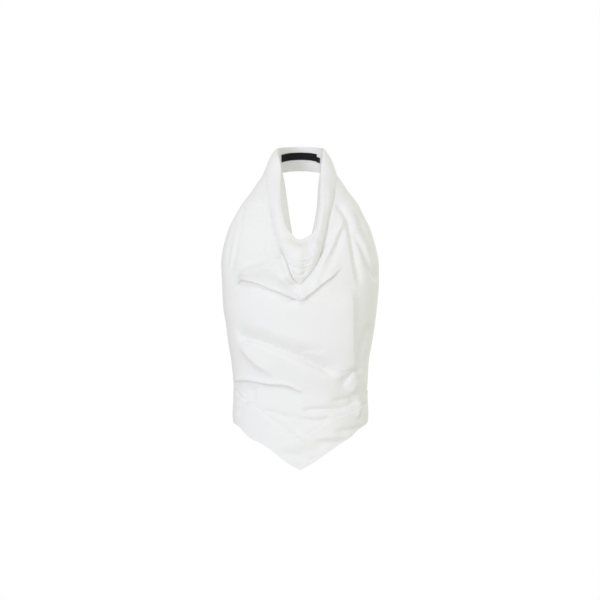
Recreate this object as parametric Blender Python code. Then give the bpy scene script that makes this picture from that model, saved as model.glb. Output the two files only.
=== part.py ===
# Cowl neck top: a sleeveless halter top with a folded cowl collar and a pointed, banded hem.
# It keeps the hollow form of a worn top. Metres, +Z up, front towards -Y, +X to the viewer's right.
# The origin is on the inner face of the nape band, at its middle. Tables are in millimetres.

from collections import namedtuple
import math

import bmesh
import bpy
import numpy as np

MM = 0.001

# Cloth and clearances, in millimetres
CLOTH_WALL = 1.6
SEAM_GAP = 0.3
LABEL_WALL = 0.6
LABEL_GAP = 0.75
SOFTEST_EDGE = 11.0     # no fold's side is narrower than this, so that the faces can follow it
SHARP_ANGLE = 40        # edges that turn more than this are drawn sharp, in degrees

# How square the body sections are: 2 is an ellipse
FRONT_SQUARENESS = 2.3
BACK_SQUARENESS = 2.0

# Turns round the body, in degrees from the centre front
SIDE_TURN = 90
HALF_TURN = 180
FULL_TURN = 360

# Body sections of a general figure in the cloth, from the neck down: half widths to each side,
# where the section's middle lies in Y, and how far the front and the back stand off that middle
Section = namedtuple("Section", "height left right middle front back")
SECTIONS = (
    Section(26, 40.5, 41.0, -46, 30, 46.5),
    Section(21, 41.5, 42.0, -46, 30, 46.5),
    Section(16, 45.0, 44.5, -47, 30, 48),
    Section(5, 51.0, 50.5, -50, 30, 52),
    Section(-7, 56.5, 56.5, -53, 31, 55),
    Section(-18, 62.5, 62.0, -56, 31, 58),
    Section(-30, 70.5, 69.3, -60, 32, 62),
    Section(-41, 78.1, 77.0, -65, 34, 70),
    Section(-64, 93.4, 92.3, -76, 39, 84),
    Section(-87, 110.6, 109.5, -85, 44, 96),
    Section(-110, 124.0, 121.0, -87, 51, 104),
    Section(-133, 135.5, 132.4, -84, 63, 108),
    Section(-156, 143.1, 140.0, -78.6, 76, 110),
    Section(-179, 148.6, 146.0, -76.3, 88, 111),
    Section(-202, 150.6, 149.6, -76, 98, 111),
    Section(-236, 149.0, 149.6, -76, 108, 109),
    Section(-282, 146.9, 146.0, -77, 110, 104),
    Section(-316, 141.5, 142.0, -78, 108, 99),
    Section(-351, 137.0, 136.4, -79, 105, 94),
    Section(-385, 131.6, 130.5, -79, 99, 89),
    Section(-420, 127.8, 128.2, -80, 93, 85),
    Section(-454, 126.0, 126.8, -80, 89, 84),
    Section(-488, 127.6, 128.4, -81, 89, 88),
    Section(-500, 126.6, 127.4, -81, 90, 89),
    Section(-540, 126.0, 126.6, -81, 93, 90),
    Section(-600, 126.0, 126.6, -82, 97, 92),
)

# Front of the collar, from the centre front up to the side of the neck. The fold is the top edge of
# the band, the edge is the free lower edge of its outer layer, and the inner edge hangs inside.
# A lift is how far the cloth stands off the body section.
FrontRow = namedtuple("FrontRow", "fold_left fold_right fold_height fold_lift edge_left edge_right"
                      " edge_height edge_lift bulge roll inner_left inner_right inner_y"
                      " inner_height")
COLLAR_FRONT = (
    FrontRow(0.0, 0.0, -156, 7.0, 0.0, 0.0, -238, 6.0, 6.0, 2.6, -1.5, 1.5, -150, -194),
    FrontRow(8.0, 7.0, -154, 6.9, 11.0, 6.5, -232, 5.6, 6.0, 2.6, 2.5, 5.5, -149, -190),
    FrontRow(14.7, 19.0, -147, 6.6, 17.5, 19.5, -218, 5.0, 5.6, 2.6, 7.5, 11.0, -146, -178),
    FrontRow(22.9, 27.9, -137, 6.2, 24.5, 31.5, -198, 4.4, 5.2, 2.6, 12.5, 17.5, -141, -160),
    FrontRow(31.0, 32.9, -118, 5.6, 35.0, 40.0, -175, 3.8, 4.8, 2.5, 16.0, 22.5, -133, -142),
    FrontRow(34.6, 35.7, -98, 5.0, 43.0, 46.0, -150, 3.4, 4.4, 2.4, 20.0, 27.8, -123, -118),
    FrontRow(36.7, 37.4, -60, 4.4, 52.3, 54.0, -110, 3.2, 4.0, 2.3, 24.5, 32.4, -103, -86),
    FrontRow(36.1, 38.6, -26, 4.0, 57.4, 63.0, -76, 3.4, 3.6, 2.1, 28.5, 34.0, -84, -58),
    FrontRow(38.7, 41.0, -3, 3.6, 62.0, 65.5, -48, 3.6, 3.2, 1.9, 32.0, 36.5, -66, -38),
    FrontRow(43.0, 43.0, 20.5, 3.2, 66.2, 66.2, -29, 3.6, 2.8, 1.7, 36.5, 39.5, -48, -28),
)

# Back of the collar, from the side of the neck to the nape, by turn round the neck in degrees
BackRow = namedtuple("BackRow", "fold_turn fold_height fold_lift edge_turn edge_height edge_lift"
                     " bulge roll inner_x inner_y inner_height")
COLLAR_BACK = (
    BackRow(112, 22.0, 3.0, 96, -27.0, 3.6, 2.2, 1.5, 37.5, -30, -26.0),
    BackRow(134, 23.6, 2.8, 122, -24.6, 1.8, 0.8, 1.3, 29.0, -13.5, -24.2),
    BackRow(157, 24.9, 2.7, 150, -22.4, 1.3, 0.2, 1.2, 16.5, -3.2, -22.2),
    BackRow(180, 25.4, 2.7, 180, -21.4, 1.2, 0.0, 1.2, 0.0, 0.8, -21.4),
)
TUCK = 0.55             # where the front's top edge lies under the collar, from its fold to its edge
FOLD_STEPS = 4
OUTER_STEPS = 6
INNER_STEPS = 4
COLLAR_STATIONS = 72
FRONT_CROWDING = 0.25   # how much closer the stations stand at the centre front than on average

# Side edges of the front: armhole and side seam, as a turn round the body at each height
SideRow = namedtuple("SideRow", "height turn")
FRONT_SIDE = (
    SideRow(0, 76),
    SideRow(-12, 82),
    SideRow(-30, 88),
    SideRow(-60, 90),
    SideRow(-300, 90.5),
    SideRow(-510, 91),
)

# Hem by turn round the body: the seam above the hem band, and the hem itself
HemRow = namedtuple("HemRow", "turn seam hem")
HEM = (
    HemRow(-180, -441, -500),
    HemRow(-100, -440, -500),
    HemRow(-90, -440, -501),
    HemRow(-78, -442, -505),
    HemRow(-65, -450, -510),
    HemRow(-55, -458, -520),
    HemRow(-46, -465, -531.5),
    HemRow(-31, -481, -543),
    HemRow(-23, -492, -553.5),
    HemRow(-10, -511, -576),
    HemRow(0, -528.5, -591),
    HemRow(9, -516, -577),
    HemRow(16, -505, -566),
    HemRow(24, -496.5, -554.5),
    HemRow(33, -489, -543.5),
    HemRow(43, -485, -532.5),
    HemRow(54, -477.5, -521.5),
    HemRow(66, -467, -510.5),
    HemRow(78, -453, -505),
    HemRow(90, -441, -501),
    HemRow(100, -440, -500),
    HemRow(180, -441, -500),
)
SEAM_FLAT = 4.5         # no fold within this turn of a side seam, in degrees
SEAM_CALM = 8.0         # and folds die out over this turn before that
MITRE_BOW = 3.0         # how far the mitre bows to the viewer's left, in degrees of turn
CORNER_HASTE = 14       # how soon the front's side edges leave its top corners for their own line
MITRE_TOP = -532.0      # where the slit between the two front bands is measured
BAND_MIDDLE = -470.0    # and the gap between the front and back bands
BACK_TOP = -184.0
BACK_DIP = 16.0         # how far the back's top edge dips at its middle

# Finishes
Finish = namedtuple("Finish", "colour roughness")
POPLIN = Finish((0.86, 0.86, 0.85), 0.8)
TAPE = Finish((0.02, 0.02, 0.022), 0.6)

# Mesh fineness
FRONT_COLUMNS = 48
FRONT_ROWS = 50
BACK_COLUMNS = 24
BACK_ROWS = 12
BAND_COLUMNS = FRONT_COLUMNS // 2
BAND_ROWS = 4

# Folds of the front. Each runs from left to right, or from the top down, through a few places seen
# from the front. Rise is out of the cloth (a trough is below zero). Over is the width on the side to
# the left of the way it runs, under the width on its other side, fade the length of its ends.
Fold = namedtuple("Fold", "name rise over under fade path")
FOLDS = (
    Fold("left drape", 9.0, 19, 17, 20,
         ((-122, -234), (-98, -227), (-76, -225), (-56, -227), (-38, -234), (-22, -244), (-8, -252))),
    Fold("right drape", 8.0, 18, 3, 16,
         ((-2, -268), (19, -255), (38, -239), (57, -224), (72, -213), (82, -205))),
    Fold("left pull", 4.5, 8, 8, 22, ((-117, -228), (-96, -220), (-72, -212), (-48, -205))),
    Fold("left hollow", -3.0, 9, 7, 18, ((-124, -222), (-106, -212), (-86, -203), (-60, -197))),
    Fold("right pull", 4.5, 8, 8, 24, ((18, -246), (40, -212), (60, -174), (74, -140), (87, -108))),
    Fold("right hollow", -4.0, 7, 7, 20, ((9, -251), (34, -217), (50, -197), (66, -174), (78, -144))),
    Fold("left armhole fold", -4.0, 8, 7, 22,
         ((-110, -98), (-118, -140), (-125, -184), (-132, -213), (-138, -236))),
    Fold("right armhole fold", -8.0, 9, 9, 22,
         ((66, -84), (78, -98), (88, -118), (96, -148), (101, -184), (108, -222), (113, -250))),
    Fold("right second fold", -5.5, 8, 8, 20,
         ((101, -138), (109, -156), (117, -172), (125, -190), (134, -210), (146, -236))),
    Fold("right third fold", -3.0, 7, 6, 18, ((114, -108), (126, -146), (134, -175), (141, -205))),
    Fold("waist hollow", -9.0, 20, 9, 20,
         ((-114, -352), (-106, -340), (-90, -344), (-48, -362), (-20, -376), (9, -387),
          (34, -397), (76, -411))),
    Fold("waist pull", 4.0, 14, 20, 26,
         ((-106, -352), (-70, -372), (-30, -394), (10, -412), (50, -428), (88, -440))),
    Fold("left waist hollow", -7.0, 9, 15, 18,
         ((-122, -354), (-110, -370), (-90, -391), (-66, -408), (-46, -420))),
    Fold("left waist lip", 5.0, 15, 3, 14,
         ((-128, -423), (-102, -423), (-58, -429), (-30, -431), (-6, -439), (6, -446))),
    Fold("right waist peak", 9.0, 10, 12, 14, ((84, -436), (96, -424), (106, -408), (108, -396))),
    Fold("right waist nick", -7.0, 7, 7, 12, ((80, -428), (88, -418), (95, -406), (101, -398))),
    Fold("right turn", 4.0, 14, 12, 30, ((96, -250), (97, -310), (98, -356), (97, -396))),
    Fold("right side hollow", -4.0, 9, 9, 22, ((132, -312), (122, -345), (115, -370), (111, -406))),
    Fold("right hem hollow", -7.0, 9, 7, 16, ((30, -465), (57, -462), (85, -457), (104, -448))),
    Fold("right hem crease", -5.0, 6, 6, 16,
         ((2, -481), (22, -478), (41, -476), (61, -479), (80, -475), (108, -463))),
    Fold("middle hem crease", -4.0, 6, 6, 14, ((-14, -501), (9, -498), (28, -492), (62, -496))),
    Fold("band hollow", -4.5, 9, 9, 20, ((26, -541), (57, -540), (84, -536))),
    Fold("band upper hollow", -4.5, 8, 8, 18, ((62, -520), (91, -517), (118, -512))),
    Fold("left corner crease", -4.0, 7, 7, 10, ((-88, -438), (-88, -452), (-102, -468), (-118, -492))),
    Fold("right corner crease", -5.0, 6, 6, 10, ((121, -466), (116, -484), (110, -502))),
)

# Back folds are plainer: soft vertical hollows that fall from the back's top edge
BACK_HOLLOWS = 5
BACK_HOLLOW_DEPTH = 3.0
BACK_HOLLOW_TOP_SHARE = 0.25
BACK_HOLLOW_GROWS = 120.0       # the height over which a hollow reaches its full depth
BACK_HOLLOW_SIDES = 4           # a hollow is full this part of the way in from a side seam

# Label and size tab on the inner face of the nape band
LABEL_LEFT = -49.0       # round the fold from the nape
LABEL_RIGHT = 40.0
LABEL_TOP_SHARE = 0.21
LABEL_LOW_SHARE = 0.52
LABEL_ARCH = 0.05        # how far its ends drop, as a share of the band
TAB_WIDTH = 16.0
TAB_TOP_SHARE = 0.36
TAB_LOW_SHARE = 0.50
LABEL_COLUMNS = 14
TAB_COLUMNS = 3
LABEL_ROWS = 2


def smooth_table(at, places, values):
    """Read a table at any place with monotone cubic pieces, which never overshoot its rows."""
    places = np.asarray(places, float)
    values = np.asarray(values, float)
    if places[0] > places[-1]:
        places = places[::-1]
        values = values[::-1]
    step = np.diff(places)
    slope = np.diff(values) / step
    tangent = np.zeros_like(values)
    same_way = slope[1:] * slope[:-1] > 0
    before = 2 * step[1:] + step[:-1]
    after = step[1:] + 2 * step[:-1]
    with np.errstate(divide="ignore", invalid="ignore"):
        mean = (before + after) / (before / slope[:-1] + after / slope[1:])
    tangent[1:-1] = np.where(same_way, mean, 0.0)
    tangent[0] = slope[0]
    tangent[-1] = slope[-1]
    at = np.clip(np.asarray(at, float), places[0], places[-1])
    piece = np.clip(np.searchsorted(places, at, side="right") - 1, 0, len(step) - 1)
    width = step[piece]
    t = (at - places[piece]) / width
    rise = values[piece + 1] - values[piece]
    start = tangent[piece] * width
    end = tangent[piece + 1] * width
    return values[piece] + start * t + (3 * rise - 2 * start - end) * t ** 2 \
        + (start + end - 2 * rise) * t ** 3


def column(rows, name):
    """One named column of a table."""
    return [getattr(row, name) for row in rows]


def section_at(height, name):
    """One size of the body section at a height."""
    return smooth_table(height, column(SECTIONS, "height"), column(SECTIONS, name))


def body_point(turn, height, lift):
    """A point on the body section, at a turn in degrees from the centre front, moved out by lift."""
    turn = np.radians(turn)
    side = np.sin(turn)
    ahead = np.cos(turn)
    half = np.where(side >= 0, section_at(height, "right"), section_at(height, "left"))
    depth = np.where(ahead >= 0, section_at(height, "front"), section_at(height, "back"))
    square = np.where(ahead >= 0, FRONT_SQUARENESS, BACK_SQUARENESS)
    across = np.sign(side) * np.abs(side) ** (2 / square)
    forward = np.sign(ahead) * np.abs(ahead) ** (2 / square)
    normal_x = np.sign(side) * np.abs(side) ** (2 - 2 / square) / half
    normal_y = -np.sign(ahead) * np.abs(ahead) ** (2 - 2 / square) / depth
    length = np.hypot(normal_x, normal_y)
    x = half * across + lift * normal_x / length
    y = section_at(height, "middle") - depth * forward + lift * normal_y / length
    return np.stack([x, y, height + np.zeros_like(x)], axis=-1)


def hem_at(turn, name):
    """The height of the hem or of the seam above it; both come to a point at the centre front."""
    left = [row for row in HEM if row.turn <= 0]
    right = [row for row in HEM if row.turn >= 0]
    on_left = smooth_table(turn, column(left, "turn"), column(left, name))
    on_right = smooth_table(turn, column(right, "turn"), column(right, name))
    return np.where(np.asarray(turn) < 0, on_left, on_right)


def turn_at(x, height):
    """The turn, in degrees, of the place on the front that shows at x when seen from the front."""
    x = np.asarray(x, float)
    half = np.where(x >= 0, section_at(height, "right"), section_at(height, "left"))
    share = np.clip(np.abs(x) / half, 0, 1) ** (FRONT_SQUARENESS / 2)
    return np.sign(x) * np.degrees(np.arcsin(share))


def ease(share):
    """Zero to one with soft ends."""
    share = np.clip(share, 0, 1)
    return share * share * (3 - 2 * share)


def fold_rise(fold, x, z):
    """How far one fold lifts the cloth at each place seen from the front."""
    path = np.array(fold.path, float)
    lengths = np.hypot(*np.diff(path, axis=0).T)
    whole = lengths.sum()
    nearest = np.full(np.shape(x), np.inf)
    signed = np.zeros(np.shape(x))
    along = np.zeros(np.shape(x))
    travelled = 0.0
    for start, end, length in zip(path[:-1], path[1:], lengths):
        way = (end - start) / length
        reach_x = x - start[0]
        reach_z = z - start[1]
        t = np.clip(reach_x * way[0] + reach_z * way[1], 0, length)
        off = np.hypot(reach_x - t * way[0], reach_z - t * way[1])
        side = way[0] * reach_z - way[1] * reach_x
        closer = off < nearest
        nearest = np.where(closer, off, nearest)
        signed = np.where(closer, np.where(side >= 0, off, -off), signed)
        along = np.where(closer, travelled + t, along)
        travelled += length
    over = max(fold.over, SOFTEST_EDGE)
    under = max(fold.under, SOFTEST_EDGE)
    width = np.where(signed >= 0, over, under)
    ends = ease(along / fold.fade) * ease((whole - along) / fold.fade)
    return fold.rise * np.exp(-(signed / width) ** 2) * ends


def front_lift(turn, height):
    """The lift of all the folds together, at places on the front."""
    flat = body_point(turn, height, 0.0)
    rise = sum(fold_rise(fold, flat[..., 0], flat[..., 2]) for fold in FOLDS)
    return rise * ease((FRONT_SIDE[-1].turn - SEAM_FLAT - np.abs(turn)) / SEAM_CALM)


def collar_tables():
    """The collar's rows all the way round, from the nape over the left and the front to the nape."""
    front = []
    back = []
    for side, name in ((-1, "left"), (1, "right")):
        ahead = []
        for row in COLLAR_FRONT:
            ahead.append((turn_at(side * getattr(row, "fold_" + name), row.fold_height),
                          row.fold_height, row.fold_lift,
                          turn_at(side * getattr(row, "edge_" + name), row.edge_height),
                          row.edge_height, row.edge_lift, row.bulge, row.roll,
                          side * getattr(row, "inner_" + name), row.inner_y, row.inner_height))
        behind = []
        for row in COLLAR_BACK:
            behind.append((side * row.fold_turn, row.fold_height, row.fold_lift,
                           side * row.edge_turn, row.edge_height, row.edge_lift, row.bulge,
                           row.roll, side * row.inner_x, row.inner_y, row.inner_height))
        front.append(ahead)
        back.append(behind)
    left = back[0][::-1] + front[0][:0:-1]
    right = front[1] + back[1]
    return np.array(left + right, float)


COLLAR = collar_tables()
COLLAR_FOLD_LINE = body_point(COLLAR[:, 0], COLLAR[:, 1], COLLAR[:, 2])
COLLAR_PLACES = np.concatenate([[0], np.cumsum(np.linalg.norm(
    np.diff(COLLAR_FOLD_LINE, axis=0), axis=1))])
COLLAR_LENGTH = COLLAR_PLACES[-1]
CORNER_LEFT = COLLAR_PLACES[len(COLLAR_BACK)]
CORNER_RIGHT = COLLAR_PLACES[-len(COLLAR_BACK) - 1]


def collar_values(place):
    """All the collar's table values at places along its fold."""
    return [smooth_table(place, COLLAR_PLACES, values) for values in COLLAR.T]


def collar_outer(place, share):
    """The outer layer, at a share of the way from its fold to its free edge."""
    fold_turn, fold_z, fold_lift, edge_turn, edge_z, edge_lift, bulge = collar_values(place)[:7]
    turn = fold_turn + (edge_turn - fold_turn) * share
    height = fold_z + (edge_z - fold_z) * share
    lift = fold_lift + (edge_lift - fold_lift) * share + bulge * 4 * share * (1 - share)
    lift = lift + np.maximum(front_lift(turn, height), 0) * share * (np.abs(turn) < SIDE_TURN)
    return body_point(turn, height, lift)


def collar_profile(place):
    """Points across the band at places along it: inner edge, fold, outer edge."""
    values = collar_values(place)
    roll = values[7][:, None]
    inner_edge = np.stack(values[8:11], axis=-1)
    top = collar_outer(place, 0.0)
    towards_edge = collar_outer(place, 1 / OUTER_STEPS) - top
    towards_edge /= np.linalg.norm(towards_edge, axis=-1, keepdims=True)
    outward = collar_outer(place, 0.0) - body_point(values[0], values[1], 0.0)
    outward /= np.linalg.norm(outward, axis=-1, keepdims=True)
    centre = top - outward * roll + towards_edge * roll
    points = []
    inner_top = centre - outward * roll
    for step in range(INNER_STEPS):
        share = step / INNER_STEPS
        points.append(inner_edge + (inner_top - inner_edge) * share)
    for step in range(FOLD_STEPS + 1):
        angle = math.pi * step / FOLD_STEPS
        points.append(centre - outward * roll * math.cos(angle) - towards_edge * roll * math.sin(angle))
    outer_top = points.pop()
    for step in range(OUTER_STEPS + 1):
        share = step / OUTER_STEPS
        laid = collar_outer(place, share)
        start = outer_top - collar_outer(place, 0.0)
        points.append(laid + start * (1 - share) ** 2)
    return np.stack(points, axis=1)


def surface_normals(grid, ring):
    """Unit normals of a grid of points; the first way of the grid may close into a ring."""
    if ring:
        along = np.roll(grid, -1, axis=0) - np.roll(grid, 1, axis=0)
    else:
        along = np.gradient(grid, axis=0)
    across = np.gradient(grid, axis=1)
    normal = np.cross(along, across)
    return normal / np.linalg.norm(normal, axis=-1, keepdims=True)


def cloth_material(name, finish):
    """A plain material."""
    material = bpy.data.materials.new(name)
    material.use_nodes = True
    shader = material.node_tree.nodes["Principled BSDF"]
    shader.inputs["Base Color"].default_value = (*finish.colour, 1.0)
    shader.inputs["Roughness"].default_value = finish.roughness
    shader.inputs["Metallic"].default_value = 0.0
    return material


def cloth_object(name, middle, wall, material, ring=False):
    """A closed wall of cloth round a grid of middle points, in millimetres."""
    rows, columns = middle.shape[:2]
    normal = surface_normals(middle, ring)
    front = (middle + normal * wall / 2).reshape(-1, 3)
    behind = (middle - normal * wall / 2).reshape(-1, 3)
    count = rows * columns
    faces = []
    for i in range(rows if ring else rows - 1):
        for j in range(columns - 1):
            a = i * columns + j
            b = (i + 1) % rows * columns + j
            faces.append((a, b, b + 1, a + 1))
            faces.append((count + a, count + a + 1, count + b + 1, count + b))
    for i in range(rows if ring else rows - 1):
        low = i * columns
        low_next = (i + 1) % rows * columns
        high = low + columns - 1
        high_next = low_next + columns - 1
        faces.append((low, count + low, count + low_next, low_next))
        faces.append((high, high_next, count + high_next, count + high))
    if not ring:
        last = (rows - 1) * columns
        for j in range(columns - 1):
            faces.append((j, j + 1, count + j + 1, count + j))
            faces.append((last + j, count + last + j, count + last + j + 1, last + j + 1))
    mesh = bpy.data.meshes.new(name)
    mesh.from_pydata((np.concatenate([front, behind]) * MM).tolist(), [], faces)
    body = bmesh.new()
    body.from_mesh(mesh)
    bmesh.ops.recalc_face_normals(body, faces=body.faces)
    body.to_mesh(mesh)
    body.free()
    mesh.shade_smooth()
    mesh.set_sharp_from_angle(angle=math.radians(SHARP_ANGLE))
    mesh.materials.append(material)
    item = bpy.data.objects.new(name, mesh)
    bpy.context.scene.collection.objects.link(item)
    return item


def front_middle():
    """The front between the collar, the two side edges and the seam above the hem bands."""
    across = np.linspace(0, 1, FRONT_COLUMNS + 1)
    down = np.linspace(0, 1, FRONT_ROWS + 1)
    place = CORNER_LEFT + (CORNER_RIGHT - CORNER_LEFT) * across
    values = collar_values(place)
    top_turn = values[0] + (values[3] - values[0]) * TUCK
    top_height = values[1] + (values[4] - values[1]) * TUCK
    side_end = FRONT_SIDE[-1].turn
    low_turn = -side_end + 2 * side_end * across
    low_height = hem_at(low_turn, "seam") + SEAM_GAP / 2
    u, v = np.meshgrid(across, down, indexing="ij")
    heights = []
    for corner, foot in ((top_height[0], low_height[0]), (top_height[-1], low_height[-1])):
        heights.append(corner + (foot - corner) * down)
    turns = [smooth_table(h, column(FRONT_SIDE, "height"), column(FRONT_SIDE, "turn"))
             for h in heights]
    turns[0] = -turns[0]
    grids = []
    for top, low, sides in ((top_turn, low_turn, turns), (top_height, low_height, heights)):
        left = sides[0] + (top[0] - sides[0][0]) * (1 - down) ** CORNER_HASTE
        right = sides[1] + (top[-1] - sides[1][0]) * (1 - down) ** CORNER_HASTE
        blend = (1 - v) * top[:, None] + v * low[:, None] + (1 - u) * left + u * right
        corners = (1 - u) * (1 - v) * top[0] + u * (1 - v) * top[-1] \
            + (1 - u) * v * low[0] + u * v * low[-1]
        grids.append(blend - corners)
    turn, height = grids
    return body_point(turn, height, front_lift(turn, height))


def band_middle(first_turn, last_turn, bow_first, bow_last, columns, with_folds):
    """A hem band from its seam down to the hem, between two turns; a bow curves an end."""
    down = np.linspace(0, 1, BAND_ROWS + 1)
    across = np.linspace(0, 1, columns + 1)
    u, v = np.meshgrid(across, down, indexing="ij")
    first = first_turn - bow_first * np.sin(math.pi * v)
    last = last_turn - bow_last * np.sin(math.pi * v)
    turn = first + (last - first) * u
    read = (turn + HALF_TURN) % FULL_TURN - HALF_TURN
    seam = hem_at(read, "seam") - SEAM_GAP / 2
    hem = hem_at(read, "hem")
    height = seam + (hem - seam) * v
    lift = front_lift(turn, height) if with_folds else back_lift(read, height)
    return body_point(turn, height, lift)


def back_lift(turn, height):
    """Soft hollows that run down the back, and none at the side seams."""
    from_middle = (HALF_TURN - np.abs(turn)) / SIDE_TURN
    wave = np.cos(math.pi * BACK_HOLLOWS * from_middle) - 1
    grown = (BACK_TOP - height) / BACK_HOLLOW_GROWS + BACK_HOLLOW_TOP_SHARE
    deep = ease((1 - from_middle) * BACK_HOLLOW_SIDES) * ease(grown)
    return BACK_HOLLOW_DEPTH / 2 * wave * deep


def back_middle():
    """The low back between the side seams, from its top edge to the seam above its hem band."""
    across = np.linspace(0, 1, BACK_COLUMNS + 1)
    down = np.linspace(0, 1, BACK_ROWS + 1)
    u, v = np.meshgrid(across, down, indexing="ij")
    side_low = FRONT_SIDE[-1].turn
    low_turn = side_low + (FULL_TURN - 2 * side_low) * u
    low_turn = (low_turn + HALF_TURN) % FULL_TURN - HALF_TURN
    top = BACK_TOP - BACK_DIP * np.sin(math.pi * u) ** 2
    seam = hem_at(low_turn, "seam") + SEAM_GAP / 2
    height = top + (seam - top) * v
    side = smooth_table(height, column(FRONT_SIDE, "height"), column(FRONT_SIDE, "turn"))
    side = side + np.degrees(SEAM_GAP / section_at(height, "back"))
    turn = side + (FULL_TURN - 2 * side) * u
    read = (turn + HALF_TURN) % FULL_TURN - HALF_TURN
    return body_point(turn, height, back_lift(read, height))


def nape_patch(first, last, columns, top_share, low_share, depth):
    """A patch on the inner face of the nape band, moved in towards the neck by depth."""
    place = (COLLAR_LENGTH - np.linspace(first, last, columns + 1)) % COLLAR_LENGTH
    profile = collar_profile(place)
    inner_edge = profile[:, 0]
    inner_top = profile[:, INNER_STEPS]
    drop = LABEL_ARCH * (np.linspace(first, last, columns + 1) / LABEL_LEFT) ** 2
    share = np.linspace(low_share, top_share, LABEL_ROWS + 1)[None, :] + drop[:, None]
    laid = inner_top[:, None] + (inner_edge - inner_top)[:, None] * share[..., None]
    inward = laid * (-1, -1, 0) + np.array([0, section_at(0.0, "middle"), 0])
    inward /= np.linalg.norm(inward, axis=-1, keepdims=True)
    return laid + inward * depth


def build():
    """Make every sub-part of the top."""
    for item in list(bpy.data.objects):
        bpy.data.objects.remove(item, do_unlink=True)
    poplin = cloth_material("white_poplin", POPLIN)
    tape = cloth_material("black_woven_tape", TAPE)

    round_share = np.arange(COLLAR_STATIONS) / COLLAR_STATIONS
    crowded = round_share + FRONT_CROWDING * np.sin(2 * math.pi * round_share) / (2 * math.pi)
    stations = crowded * COLLAR_LENGTH
    cloth_object("cowl_collar", collar_profile(stations), CLOTH_WALL, poplin, ring=True)
    cloth_object("front_panel", front_middle(), CLOTH_WALL, poplin)
    cloth_object("back_panel", back_middle(), CLOTH_WALL, poplin)

    side = FRONT_SIDE[-1].turn
    slit = np.degrees(SEAM_GAP / 2 / section_at(MITRE_TOP, "front"))
    cloth_object("hem_band_left", band_middle(-side, -slit, 0, MITRE_BOW, BAND_COLUMNS, True),
                 CLOTH_WALL, poplin)
    cloth_object("hem_band_right", band_middle(slit, side, MITRE_BOW, 0, BAND_COLUMNS, True),
                 CLOTH_WALL, poplin)
    past = np.degrees(SEAM_GAP / section_at(BAND_MIDDLE, "back"))
    cloth_object("hem_band_back",
                 band_middle(side + past, FULL_TURN - side - past, 0, 0, BACK_COLUMNS, False),
                 CLOTH_WALL, poplin)

    depth = (CLOTH_WALL + LABEL_WALL) / 2 + LABEL_GAP
    cloth_object("neck_label", nape_patch(LABEL_LEFT, LABEL_RIGHT, LABEL_COLUMNS,
                                          LABEL_TOP_SHARE, LABEL_LOW_SHARE, depth),
                 LABEL_WALL, tape)
    tab_start = LABEL_RIGHT + SEAM_GAP
    cloth_object("size_tab", nape_patch(tab_start, tab_start + TAB_WIDTH, TAB_COLUMNS,
                                        TAB_TOP_SHARE, TAB_LOW_SHARE, depth),
                 LABEL_WALL, tape)


build()
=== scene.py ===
import logging
import math
from dataclasses import dataclass, field
from enum import Enum

import bpy
import numpy as np
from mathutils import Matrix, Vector


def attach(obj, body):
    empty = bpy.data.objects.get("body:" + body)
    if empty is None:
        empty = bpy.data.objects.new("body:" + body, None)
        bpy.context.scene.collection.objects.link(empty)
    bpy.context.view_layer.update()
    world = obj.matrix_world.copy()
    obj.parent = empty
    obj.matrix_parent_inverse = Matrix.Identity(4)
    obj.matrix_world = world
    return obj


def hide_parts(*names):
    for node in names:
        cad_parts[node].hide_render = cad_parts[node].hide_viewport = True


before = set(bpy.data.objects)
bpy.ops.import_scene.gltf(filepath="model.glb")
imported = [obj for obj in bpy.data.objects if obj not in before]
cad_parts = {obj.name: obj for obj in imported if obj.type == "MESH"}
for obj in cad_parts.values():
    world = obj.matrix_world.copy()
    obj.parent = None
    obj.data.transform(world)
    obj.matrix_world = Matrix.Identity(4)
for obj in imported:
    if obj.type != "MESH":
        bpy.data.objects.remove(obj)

# Looks of the cowl neck top. Sizes are in millimetres until a mesh is made, +X is the viewer's right.
MM = 0.001
FULL_TURN = 360
HALF_TURN = 180
TINY = 1e-9                # keeps a length from being divided by zero
SHARP_ANGLE = 80           # edges of the cloth that turn more than this are drawn sharp, in degrees
LOG = logging.getLogger("cowl_neck_top")
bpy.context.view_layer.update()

Values = np.ndarray
Numbers = np.ndarray | list[float]
Triple = tuple[float, float, float]
Range = tuple[float, float]
Socket = bpy.types.NodeSocket
Material = bpy.types.Material
Piece = bpy.types.Object

# A fold's pressed side ends this many widths from its crest, on a curve of this power, and no side
# reaches further than the last number of widths.
PRESSED_REACH = 2.2
PRESSED_POWER = 1.6
FOLD_REACH = 2.6

# A rolled crest leans most at this share of its roll from the crest line, over this share of it
# and a little more.
LEAN_AT = 0.6
LEAN_WIDTH = 1.3
LEAN_MORE = 0.6

# Sockets that Blender tells apart by number alone: a Mix node's in its colour mode, and a Random
# Value node's in its number mode.
MIX_FACTOR, MIX_FIRST, MIX_SECOND, MIX_RESULT = 0, 6, 7, 2
RANDOM_LEAST, RANDOM_MOST, RANDOM_RESULT = 2, 3, 1

# A Wave Texture of scale 1 turns through this many radians in each metre.
WAVE_RADIANS = 20.0


class Slot(Enum):
    """Material slots of the record."""

    POPLIN = "poplin"
    TAPE = "tape"


class Side(Enum):
    """Side of the top as the viewer sees it."""

    LEFT = -1
    RIGHT = 1


class Hold(Enum):
    """How a sheet of cloth is held."""

    DRAPED = "draped"
    FOLDED = "folded"
    HUNG = "hung"
    LAID = "laid"


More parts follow.
